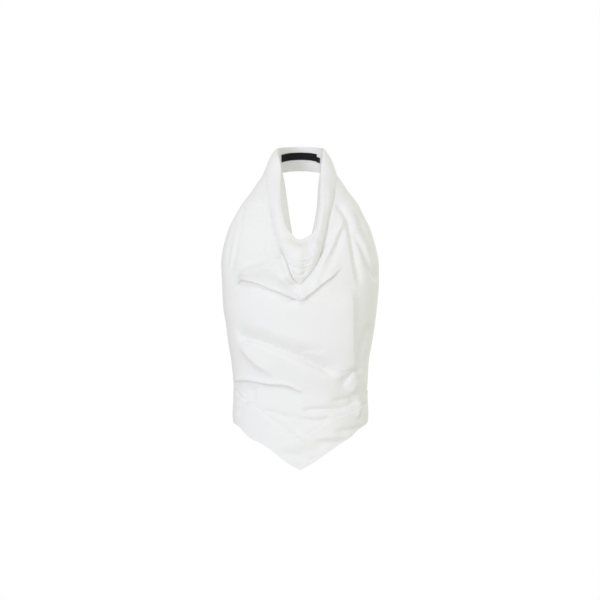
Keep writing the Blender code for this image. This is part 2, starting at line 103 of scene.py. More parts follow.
def smooth_table(at: Numbers, places: Numbers, values: Numbers) -> Values:
    """Reads a table at any place with monotone cubic pieces, which never overshoot its rows.

    Args:
        at: The places to read at.
        places: Where each row stands, rising or falling.
        values: The value of each row.

    Returns:
        The value at each place.
    """
    places = np.asarray(places, float)
    values = np.asarray(values, float)
    if places[0] > places[-1]:
        places, values = places[::-1], values[::-1]
    step = np.diff(places)
    slope = np.diff(values) / step
    tangent = np.zeros_like(values)
    before = 2 * step[1:] + step[:-1]
    after = step[1:] + 2 * step[:-1]
    with np.errstate(divide="ignore", invalid="ignore"):
        mean = (before + after) / (before / slope[:-1] + after / slope[1:])
    tangent[1:-1] = np.where(slope[1:] * slope[:-1] > 0, mean, 0.0)
    tangent[0], tangent[-1] = slope[0], slope[-1]
    at = np.clip(np.asarray(at, float), places[0], places[-1])
    piece = np.clip(np.searchsorted(places, at, side="right") - 1, 0, len(step) - 1)
    width = step[piece]
    t = (at - places[piece]) / width
    rise = values[piece + 1] - values[piece]
    start, end = tangent[piece] * width, tangent[piece + 1] * width
    return values[piece] + start * t + (3 * rise - 2 * start - end) * t ** 2 \
        + (start + end - 2 * rise) * t ** 3


def ease(share: Values) -> Values:
    """Zero to one with soft ends."""
    share = np.clip(share, 0, 1)
    return share * share * (3 - 2 * share)


def unit(vectors: Values) -> Values:
    """Vectors brought to length one."""
    return vectors / np.maximum(np.linalg.norm(vectors, axis=-1, keepdims=True), TINY)


def wrapped(turn: Numbers) -> Values:
    """Degrees of turn brought between -180 and 180."""
    return (np.asarray(turn, float) + HALF_TURN) % FULL_TURN - HALF_TURN


def grid(columns: int, rows: int) -> tuple[Values, Values]:
    """Shares of the way across and down at the points of a grid, column by column."""
    return np.meshgrid(np.linspace(0, 1, columns + 1), np.linspace(0, 1, rows + 1), indexing="ij")


def turned_edge(away: Values, width: float) -> Values:
    """One along an edge that is turned in, and zero past its width."""
    return np.exp(-(away / width) ** 4)


def soft_step(away: Values, width: float) -> Values:
    """One at a seam, and softly down to zero within about two widths."""
    return np.exp(-(away / width) ** 2)


def show(name: str, mesh: bpy.types.Mesh) -> Piece:
    """Puts a mesh in the scene as a piece, at the origin."""
    piece = bpy.data.objects.new(name, mesh)
    bpy.context.scene.collection.objects.link(piece)
    return piece


@dataclass(frozen=True)
class Section:
    """A level section of the body in the cloth."""

    height: float
    left: float
    right: float
    middle: float
    front: float
    back: float


@dataclass(frozen=True)
class BodyForm:
    """The worn form that every panel is laid on, the same as the solids'."""

    sections: tuple[Section, ...] = (
        Section(26, 40.5, 41.0, -46, 30, 46.5),
        Section(21, 41.5, 42.0, -46, 30, 46.5),
        Section(16, 45.0, 44.5, -47, 30, 48),
        Section(5, 51.0, 50.5, -50, 30, 52),
        Section(-7, 56.5, 56.5, -53, 31, 55),
        Section(-18, 62.5, 62.0, -56, 31, 58),
        Section(-30, 70.5, 69.3, -60, 32, 62),
        Section(-41, 78.1, 77.0, -65, 34, 70),
        Section(-64, 93.4, 92.3, -76, 39, 84),
        Section(-87, 110.6, 109.5, -85, 44, 96),
        Section(-110, 124.0, 121.0, -87, 51, 104),
        Section(-133, 135.5, 132.4, -84, 63, 108),
        Section(-156, 143.1, 140.0, -78.6, 76, 110),
        Section(-179, 148.6, 146.0, -76.3, 88, 111),
        Section(-202, 150.6, 149.6, -76, 98, 111),
        Section(-236, 149.0, 149.6, -76, 108, 109),
        Section(-282, 146.9, 146.0, -77, 110, 104),
        Section(-316, 141.5, 142.0, -78, 108, 99),
        Section(-351, 137.0, 136.4, -79, 105, 94),
        Section(-385, 131.6, 130.5, -79, 99, 89),
        Section(-420, 127.8, 128.2, -80, 93, 85),
        Section(-454, 126.0, 126.8, -80, 89, 84),
        Section(-488, 127.6, 128.4, -81, 89, 88),
        Section(-500, 126.6, 127.4, -81, 90, 89),
        Section(-540, 126.0, 126.6, -81, 93, 90),
        Section(-600, 126.0, 126.6, -82, 97, 92),
    )
    front_squareness: float = 2.3
    back_squareness: float = 2.0
    steepest_slide: float = 1.6
    least_ahead: float = 0.01

    def size(self, height: Values, name: str) -> Values:
        """One size of the body section at each height."""
        return smooth_table(height, [row.height for row in self.sections],
                            [getattr(row, name) for row in self.sections])

    def place(self, turn: Values, height: Values) -> tuple[Values, Values]:
        """Points on the body section and the way out of it.

        Args:
            turn: Degrees round from the centre front, positive to the viewer's right.
            height: Height of each point.

        Returns:
            The points, and unit vectors that point level and out of the body.
        """
        angle = np.radians(turn)
        side, ahead = np.sin(angle), np.cos(angle)
        half = np.where(side >= 0, self.size(height, "right"), self.size(height, "left"))
        depth = np.where(ahead >= 0, self.size(height, "front"), self.size(height, "back"))
        square = np.where(ahead >= 0, self.front_squareness, self.back_squareness)
        across = np.sign(side) * np.abs(side) ** (2 / square)
        forward = np.sign(ahead) * np.abs(ahead) ** (2 / square)
        out_x = np.sign(side) * np.abs(side) ** (2 - 2 / square) / half
        out_y = -np.sign(ahead) * np.abs(ahead) ** (2 - 2 / square) / depth
        points = np.stack([half * across, self.size(height, "middle") - depth * forward,
                           height + np.zeros_like(half)], axis=-1)
        return points, unit(np.stack([out_x, out_y, np.zeros_like(out_x)], axis=-1))

    def point(self, turn: Values, height: Values, lift: Values) -> Values:
        """Points that stand off the body section by lift."""
        points, out = self.place(turn, height)
        return points + out * np.asarray(lift)[..., None]

    def turn_at(self, x: Values, height: Values) -> Values:
        """The turn of the place on the front that shows at x from the front.

        Args:
            x: Places across, to the viewer's right.
            height: Their heights.

        Returns:
            Degrees round from the centre front.
        """
        x = np.asarray(x, float)
        half = np.where(x >= 0, self.size(height, "right"), self.size(height, "left"))
        share = np.clip(np.abs(x) / half, 0, 1) ** (self.front_squareness / 2)
        return np.sign(x) * np.degrees(np.arcsin(share))

    def slide(self, out: Values, across: Values, up: Values) -> Values:
        """A small move along the front, given as it shows from the front.

        Args:
            out: The way out of the body at each point.
            across: How far each point moves to the viewer's right.
            up: How far it moves up.

        Returns:
            The move in three dimensions.
        """
        turned = np.clip(-out[..., 0] / np.minimum(out[..., 1], -self.least_ahead),
                         -self.steepest_slide, self.steepest_slide)
        return np.stack([across, turned * across, up], axis=-1)


@dataclass(frozen=True)
class Fold:
    """A fold or crease that runs through a few places seen from the front.

    Rise is out of the cloth, and a trough is below zero. Over is the width to the left of the way
    it runs, under the width on its other side, fade the length of its first and last end. Crisp
    is 0 for a round crest and 1 for a pressed one. Roll is how far the crest leans over its under
    side, and spread how much wider its last end is than its first.
    """

    rise: float
    over: float
    under: float
    fade: tuple[float, float]
    path: tuple[tuple[float, float], ...]
    crisp: float = 0.0
    roll: float = 0.0
    spread: float = 1.0

    def line(self, pitch: float = 5.0) -> Values:
        """The path as a smooth row of points, on a curve through its places.

        Args:
            pitch: About how far apart the points are.

        Returns:
            The points, each as its place across and its height.
        """
        path = np.array(self.path, float)
        if len(path) < 3:
            return path
        ends = np.concatenate([[2 * path[0] - path[1]], path, [2 * path[-1] - path[-2]]])
        rows = []
        for first, start, end, last in zip(ends, ends[1:], ends[2:], ends[3:]):
            count = max(1, int(np.hypot(*(end - start)) / pitch))
            for t in np.arange(count) / count:
                rows.append(0.5 * (2 * start + (end - first) * t
                                   + (2 * first - 5 * start + 4 * end - last) * t ** 2
                                   + (3 * start - first - 3 * end + last) * t ** 3))
        return np.array(rows + [path[-1]])

    def crest(self, across: Values, width: Values) -> Values:
        """The fold's height over its rise.

        Args:
            across: Distances from the crest line.
            width: Width of the fold's side at each place.

        Returns:
            One on the crest line and zero far from it.
        """
        soft = np.exp(-(across / width) ** 2)
        pressed = np.maximum(1 - np.abs(across) / (PRESSED_REACH * width), 0) ** PRESSED_POWER
        return soft + (pressed - soft) * self.crisp

    def move(self, x: Values, z: Values) -> Values:
        """How the fold moves each place.

        Args:
            x: Places across, seen from the front.
            z: Their heights.

        Returns:
            Lift out of the cloth, move to the right and move up, stacked last.
        """
        line = self.line()
        reach = FOLD_REACH * max(self.over, self.under) * max(1.0, self.spread) + self.roll
        moved = np.zeros(x.shape + (3,))
        near = (x > line[:, 0].min() - reach) & (x < line[:, 0].max() + reach) \
            & (z > line[:, 1].min() - reach) & (z < line[:, 1].max() + reach)
        if not near.any():
            return moved
        px, pz = x[near], z[near]
        best = np.full(px.shape, np.inf)
        signed, along, way_x, way_z = (np.zeros(px.shape) for _ in range(4))
        travelled = 0.0
        for start, end in zip(line[:-1], line[1:]):
            length = max(float(np.hypot(*(end - start))), TINY)
            way = (end - start) / length
            rx, rz = px - start[0], pz - start[1]
            t = np.clip(rx * way[0] + rz * way[1], 0, length)
            off = np.hypot(rx - t * way[0], rz - t * way[1])
            side = way[0] * rz - way[1] * rx
            closer = off < best
            best = np.where(closer, off, best)
            signed = np.where(closer, np.where(side >= 0, off, -off), signed)
            along = np.where(closer, travelled + t, along)
            way_x = np.where(closer, way[0], way_x)
            way_z = np.where(closer, way[1], way_z)
            travelled += length
        wide = 1 + (self.spread - 1) * along / travelled
        width = np.where(signed >= 0, self.over, self.under) * wide
        ends = ease(along / self.fade[0]) * ease((travelled - along) / self.fade[1])
        lean = 0.0
        if self.roll:
            lean = self.roll * ends * np.exp(-((signed - LEAN_AT * self.roll)
                                               / (LEAN_WIDTH * self.roll + LEAN_MORE)) ** 2)
        moved[near] = np.stack([self.rise * self.crest(signed, width) * ends,
                                lean * way_z, -lean * way_x], axis=-1)
        return moved


def folds_move(folds: tuple[Fold, ...], x: Values, z: Values) -> Values:
    """All moves of several folds together.

    Args:
        folds: The folds, in the order in which they were laid.
        x: Places across, seen from the front.
        z: Their heights.

    Returns:
        Lift out of the cloth, move to the right and move up, stacked last.
    """
    total = np.zeros(x.shape + (3,))
    for fold in folds:
        total += fold.move(x, z)
    return total


@dataclass(frozen=True)
class Poplin:
    """Crisp white cotton poplin: a plain weave with slubs, small creases, a faint uneven whiteness.

    The weave is drawn at several times the pitch of its threads, so that it still shows in a
    picture. Pitches and depths are in millimetres, and a range is what becomes 0 and 1.
    """

    name: str = "white_poplin"
    colour: Triple = (0.87, 0.87, 0.855)
    shade: Triple = (0.855, 0.855, 0.84)
    roughness: float = 0.86
    sheen: float = 0.12
    sheen_roughness: float = 0.6
    gloss: float = 0.25
    patches_a_metre: float = 22.0
    patch_detail: float = 3.0
    patch_range: Range = (0.1, 0.45)
    slubs_a_metre: Triple = (60.0, 1400.0, 1.0)
    slub_detail: float = 2.0
    slub_range: Range = (0.55, 0.95)
    slub_share: float = 0.18
    weave_pitch: float = 2.417
    weave_depth: float = 0.04
    weave_strength: float = 0.6
    creases_a_metre: Triple = (34.0, 20.0, 1.0)
    crease_detail: float = 5.0
    crease_depth: float = 0.6
    crease_strength: float = 0.35

    def make(self) -> Material:
        """The poplin as a node material on the piece's own UV map, which is in metres.

        Returns:
            The material.
        """
        kit = NodeKit(self.name)
        kit.surface(roughness=self.roughness, gloss=self.gloss, sheen=self.sheen)
        kit.shader.inputs["Sheen Roughness"].default_value = self.sheen_roughness
        cloth = kit.coordinates("UV")
        solid = kit.coordinates("Object")
        patches = kit.noise(solid, self.patches_a_metre, self.patch_detail)
        colour = kit.mix(self.shade, self.colour, kit.ramp(patches, *self.patch_range))
        slub = kit.noise(kit.scaled(cloth, self.slubs_a_metre), 1.0, self.slub_detail)
        kit.link(kit.mix_colours(colour, self.shade, kit.ramp(slub, *self.slub_range),
                                 self.slub_share), kit.shader.inputs["Base Color"])
        weave = kit.bump(kit.weave(cloth, self.weave_pitch), self.weave_depth,
                         self.weave_strength)
        creases = kit.noise(kit.scaled(cloth, self.creases_a_metre), 1.0, self.crease_detail)
        kit.link(kit.bump(creases, self.crease_depth, self.crease_strength, weave),
                 kit.shader.inputs["Normal"])
        return kit.material


@dataclass(frozen=True)
class WovenTape:
    """Bare black woven tape for the label and the tab.

    Its pitch and depth are in millimetres, and its range is what becomes 0 and 1.
    """

    name: str = "black_woven_tape"
    colour: Triple = (0.005, 0.005, 0.006)
    thread: Triple = (0.018, 0.018, 0.02)
    roughness: float = 0.7
    sheen: float = 0.03
    gloss: float = 0.2
    weave_pitch: float = 3.49
    weave_range: Range = (0.2, 0.9)
    weave_depth: float = 0.12
    weave_strength: float = 0.8

    def make(self) -> Material:
        """The tape as a node material whose threads cross on the piece's own UV map.

        Returns:
            The material.
        """
        kit = NodeKit(self.name)
        kit.surface(roughness=self.roughness, gloss=self.gloss, sheen=self.sheen)
        cells = kit.weave(kit.coordinates("UV"), self.weave_pitch)
        kit.link(kit.mix(self.colour, self.thread, kit.ramp(cells, *self.weave_range)),
                 kit.shader.inputs["Base Color"])
        kit.link(kit.bump(cells, self.weave_depth, self.weave_strength),
                 kit.shader.inputs["Normal"])
        return kit.material


@dataclass(frozen=True)
class SewingThread:
    """White sewing thread. Its depth is in millimetres, and its range is what becomes 0 and 1."""

    name: str = "white_thread"
    colour: Triple = (0.84, 0.84, 0.825)
    shade: Triple = (0.74, 0.74, 0.73)
    roughness: float = 0.7
    fibres_a_metre: float = 2400.0
    fibre_detail: float = 2.0
    fibre_range: Range = (0.3, 0.6)
    fibre_depth: float = 0.08
    fibre_strength: float = 0.5

    def make(self) -> Material:
        """The thread as a node material with fine fibres.

        Returns:
            The material.
        """
        kit = NodeKit(self.name)
        kit.shader.inputs["Roughness"].default_value = self.roughness
        fibres = kit.noise(kit.coordinates("Object"), self.fibres_a_metre, self.fibre_detail)
        kit.link(kit.mix(self.shade, self.colour, kit.ramp(fibres, *self.fibre_range)),
                 kit.shader.inputs["Base Color"])
        kit.link(kit.bump(fibres, self.fibre_depth, self.fibre_strength),
                 kit.shader.inputs["Normal"])
        return kit.material


class NodeKit:
    """Small helper that makes one node material."""

    def __init__(self, name: str) -> None:
        """Makes an empty material with a Principled shader."""
        self.material = bpy.data.materials.new(name)
        self.material.use_nodes = True
        self.tree = self.material.node_tree
        self.shader = self.tree.nodes["Principled BSDF"]

    def surface(self, roughness: float, gloss: float, sheen: float) -> None:
        """Sets how the shader takes light, the same all over.

        Args:
            roughness: How rough it is.
            gloss: Specular level.
            sheen: Weight of the soft light along its edges.
        """
        self.shader.inputs["Roughness"].default_value = roughness
        self.shader.inputs["Specular IOR Level"].default_value = gloss
        self.shader.inputs["Sheen Weight"].default_value = sheen

    def link(self, source: Socket, target: Socket) -> None:
        """Joins two sockets."""
        self.tree.links.new(source, target)

    def coordinates(self, kind: str) -> Socket:
        """Texture coordinates of one kind, Object or UV."""
        return self.tree.nodes.new("ShaderNodeTexCoord").outputs[kind]

    def scaled(self, source: Socket, scale: Triple) -> Socket:
        """Coordinates stretched by a scale on each way.

        Args:
            source: The coordinates.
            scale: How many times larger each becomes.

        Returns:
            The stretched coordinates.
        """
        node = self.tree.nodes.new("ShaderNodeMapping")
        node.inputs["Scale"].default_value = scale
        self.link(source, node.inputs["Vector"])
        return node.outputs["Vector"]

    def noise(self, source: Socket, scale: float, detail: float) -> Socket:
        """Noise from 0 to 1.

        Args:
            source: Coordinates that it is read at.
            scale: How many patches there are in each unit.
            detail: How many finer layers it has.

        Returns:
            The noise.
        """
        node = self.tree.nodes.new("ShaderNodeTexNoise")
        node.inputs["Scale"].default_value = scale
        node.inputs["Detail"].default_value = detail
        self.link(source, node.inputs["Vector"])
        return node.outputs["Fac"]

    def wave(self, source: Socket, way: str, pitch: float) -> Socket:
        """Slightly uneven sine bands along one way.

        Args:
            source: Coordinates in metres.
            way: X or Y.
            pitch: Distance from band to band, in millimetres.

        Returns:
            Values from 0 to 1.
        """
        node = self.tree.nodes.new("ShaderNodeTexWave")
        node.bands_direction = way
        node.inputs["Scale"].default_value = 2 * math.pi / (WAVE_RADIANS * pitch * MM)
        node.inputs["Distortion"].default_value = 0.4
        node.inputs["Detail Scale"].default_value = 3.0
        self.link(source, node.inputs["Vector"])
        return node.outputs["Fac"]

    def weave(self, source: Socket, pitch: float) -> Socket:
        """Height of a plain weave, where bands that run both ways cross.

        Args:
            source: Coordinates in metres.
            pitch: Distance from band to band, in millimetres.

        Returns:
            Values from 0 to 1.
        """
        node = self.tree.nodes.new("ShaderNodeMath")
        node.operation = "MULTIPLY"
        for way, socket in zip("XY", node.inputs):
            self.link(self.wave(source, way, pitch), socket)
        return node.outputs["Value"]

    def ramp(self, source: Socket, low: float, high: float) -> Socket:
        """Values spread so that low becomes 0 and high becomes 1.

        Args:
            source: The values.
            low: What becomes 0.
            high: What becomes 1.

        Returns:
            The spread values.
        """
        node = self.tree.nodes.new("ShaderNodeMapRange")
        node.inputs["From Min"].default_value = low
        node.inputs["From Max"].default_value = high
        self.link(source, node.inputs["Value"])
        return node.outputs["Result"]

    def mix(self, low: Triple, high: Triple, factor: Socket) -> Socket:
        """A colour between two.

        Args:
            low: The colour where the factor is 0.
            high: The colour where it is 1.
            factor: Values from 0 to 1.

        Returns:
            The colour.
        """
        node = self.tree.nodes.new("ShaderNodeMix")
        node.data_type = "RGBA"
        node.inputs[MIX_FIRST].default_value = (*low, 1.0)
        node.inputs[MIX_SECOND].default_value = (*high, 1.0)
        self.link(factor, node.inputs[MIX_FACTOR])
        return node.outputs[MIX_RESULT]

    def mix_colours(self, source: Socket, over: Triple, factor: Socket, most: float) -> Socket:
        """A colour with another laid over it.

        Args:
            source: The colour underneath.
            over: The colour on top.
            factor: Values from 0 to 1.
            most: How much of the top colour shows where the factor is 1.

        Returns:
            The colour.
        """
        node = self.tree.nodes.new("ShaderNodeMix")
        node.data_type = "RGBA"
        share = self.tree.nodes.new("ShaderNodeMath")
        share.operation = "MULTIPLY"
        share.inputs[1].default_value = most
        self.link(factor, share.inputs[0])
        self.link(share.outputs["Value"], node.inputs[MIX_FACTOR])
        self.link(source, node.inputs[MIX_FIRST])
        node.inputs[MIX_SECOND].default_value = (*over, 1.0)
        return node.outputs[MIX_RESULT]

    def bump(self, height: Socket, depth: float, strength: float,
             before: Socket | None = None) -> Socket:
        """A bump from a height.

        Args:
            height: Values from 0 to 1.
            depth: What the height is worth at 1, in millimetres.
            strength: How much of it shows.
            before: An earlier bump that it lies on, if there is one.

        Returns:
            The normal.
        """
        node = self.tree.nodes.new("ShaderNodeBump")
        node.inputs["Distance"].default_value = depth * MM
        node.inputs["Strength"].default_value = strength
        self.link(height, node.inputs["Height"])
        if before is not None:
            self.link(before, node.inputs["Normal"])
        return node.outputs["Normal"]


@dataclass
class Cloth:
    """A thin closed shell of cloth round a grid of middle points.

    The grid's first way may close into a ring. Faces point out on both sides.
    """

    name: str
    middle: Values
    wall: Values | float
    ring: bool = False

    def normals(self) -> Values:
        """Unit normals of the middle, towards the outer face.

        Returns:
            One for each point of the grid.
        """
        if self.ring:
            along = np.roll(self.middle, -1, axis=0) - np.roll(self.middle, 1, axis=0)
        else:
            along = np.gradient(self.middle, axis=0)
        return unit(np.cross(along, np.gradient(self.middle, axis=1)))

    def lengths(self) -> tuple[Values, Values]:
        """Mean distances along the two ways of the grid, in metres, for the weave.

        Returns:
            How far along the first way each line stands, and how far along the second.
        """
        steps = np.linalg.norm(np.diff(self.middle, axis=0), axis=-1).mean(axis=1)
        falls = np.linalg.norm(np.diff(self.middle, axis=1), axis=-1).mean(axis=0)
        along = np.concatenate([[0.0], np.cumsum(steps)]) * MM
        across = np.concatenate([[0.0], np.cumsum(falls)]) * MM
        return along, across

    def quads(self) -> Values:
        """Faces of the shell: its outer and inner side, and the strips that close its edges.

        Returns:
            Four point numbers for each face, the inner side's points after the outer side's.
        """
        rows, columns = self.middle.shape[:2]
        count = rows * columns
        lines = np.arange(rows if self.ring else rows - 1)
        i, j = np.meshgrid(lines, np.arange(columns - 1), indexing="ij")
        a = (i * columns + j).ravel()
        b = ((i + 1) % rows * columns + j).ravel()
        low, low_next = lines * columns, (lines + 1) % rows * columns
        high, high_next = low + columns - 1, low_next + columns - 1
        faces = [(a, b, b + 1, a + 1),
                 (count + a, count + a + 1, count + b + 1, count + b),
                 (low, count + low, count + low_next, low_next),
                 (high, high_next, count + high_next, count + high)]
        if not self.ring:
            first = np.arange(columns - 1)
            last = (rows - 1) * columns + first
            faces.append((first, first + 1, count + first + 1, count + first))
            faces.append((last, count + last, count + last + 1, last + 1))
        return np.concatenate([np.stack(corners, 1) for corners in faces])

    def make(self, material: Material) -> Piece:
        """Makes the mesh, with its weave coordinates, and dresses it.

        Args:
            material: The cloth's finish.

        Returns:
            The piece, at the origin.
        """
        rows, columns = self.middle.shape[:2]
        out = self.normals() * np.asarray(self.wall)[..., None] * np.ones((rows, columns, 1)) / 2
        points = np.concatenate([(self.middle + out).reshape(-1, 3),
                                 (self.middle - out).reshape(-1, 3)]) * MM
        quads = self.quads()
        mesh = bpy.data.meshes.new(self.name)
        mesh.vertices.add(len(points))
        mesh.vertices.foreach_set("co", points.ravel())
        mesh.loops.add(quads.size)
        mesh.loops.foreach_set("vertex_index", quads.ravel())
        mesh.polygons.add(len(quads))
        mesh.polygons.foreach_set("loop_start", np.arange(len(quads)) * quads.shape[1])
        mesh.update(calc_edges=True)
        along, across = self.lengths()
        places = np.stack(np.meshgrid(along, across, indexing="ij"), -1).reshape(-1, 2)
        woven = np.concatenate([places, places])[quads.ravel()]
        mesh.uv_layers.new(name="weave").data.foreach_set("uv", woven.ravel())
        mesh.shade_smooth()
        mesh.set_sharp_from_angle(angle=math.radians(SHARP_ANGLE))
        mesh.materials.append(material)
        mesh.validate()
        return show(self.name, mesh)


class Panel:
    """A part of the top that keeps its cloth once it is made, for what is sewn on it."""

    cloth: Cloth

    def sheet(self) -> Cloth:
        """The panel's cloth, built in its place."""
        raise NotImplementedError

    def make(self, material: Material) -> Piece:
        """Builds the panel and dresses it."""
        self.cloth = self.sheet()
        return self.cloth.make(material)


@dataclass(frozen=True)
class FrontRow:
    """A row of the collar's front, from the centre front up to the side of the neck."""

    fold_left: float
    fold_right: float
    fold_height: float
    fold_lift: float
    edge_left: float
    edge_right: float
    edge_height: float
    edge_lift: float
    bulge: float
    roll: float
    inner_left: float
    inner_right: float
    inner_y: float
    inner_height: float


@dataclass(frozen=True)
class BackRow:
    """A row of the collar's back, from the side of the neck to the nape."""

    fold_turn: float
    fold_height: float
    fold_lift: float
    edge_turn: float
    edge_height: float
    edge_lift: float
    bulge: float
    roll: float
    inner_x: float
    inner_y: float
    inner_height: float


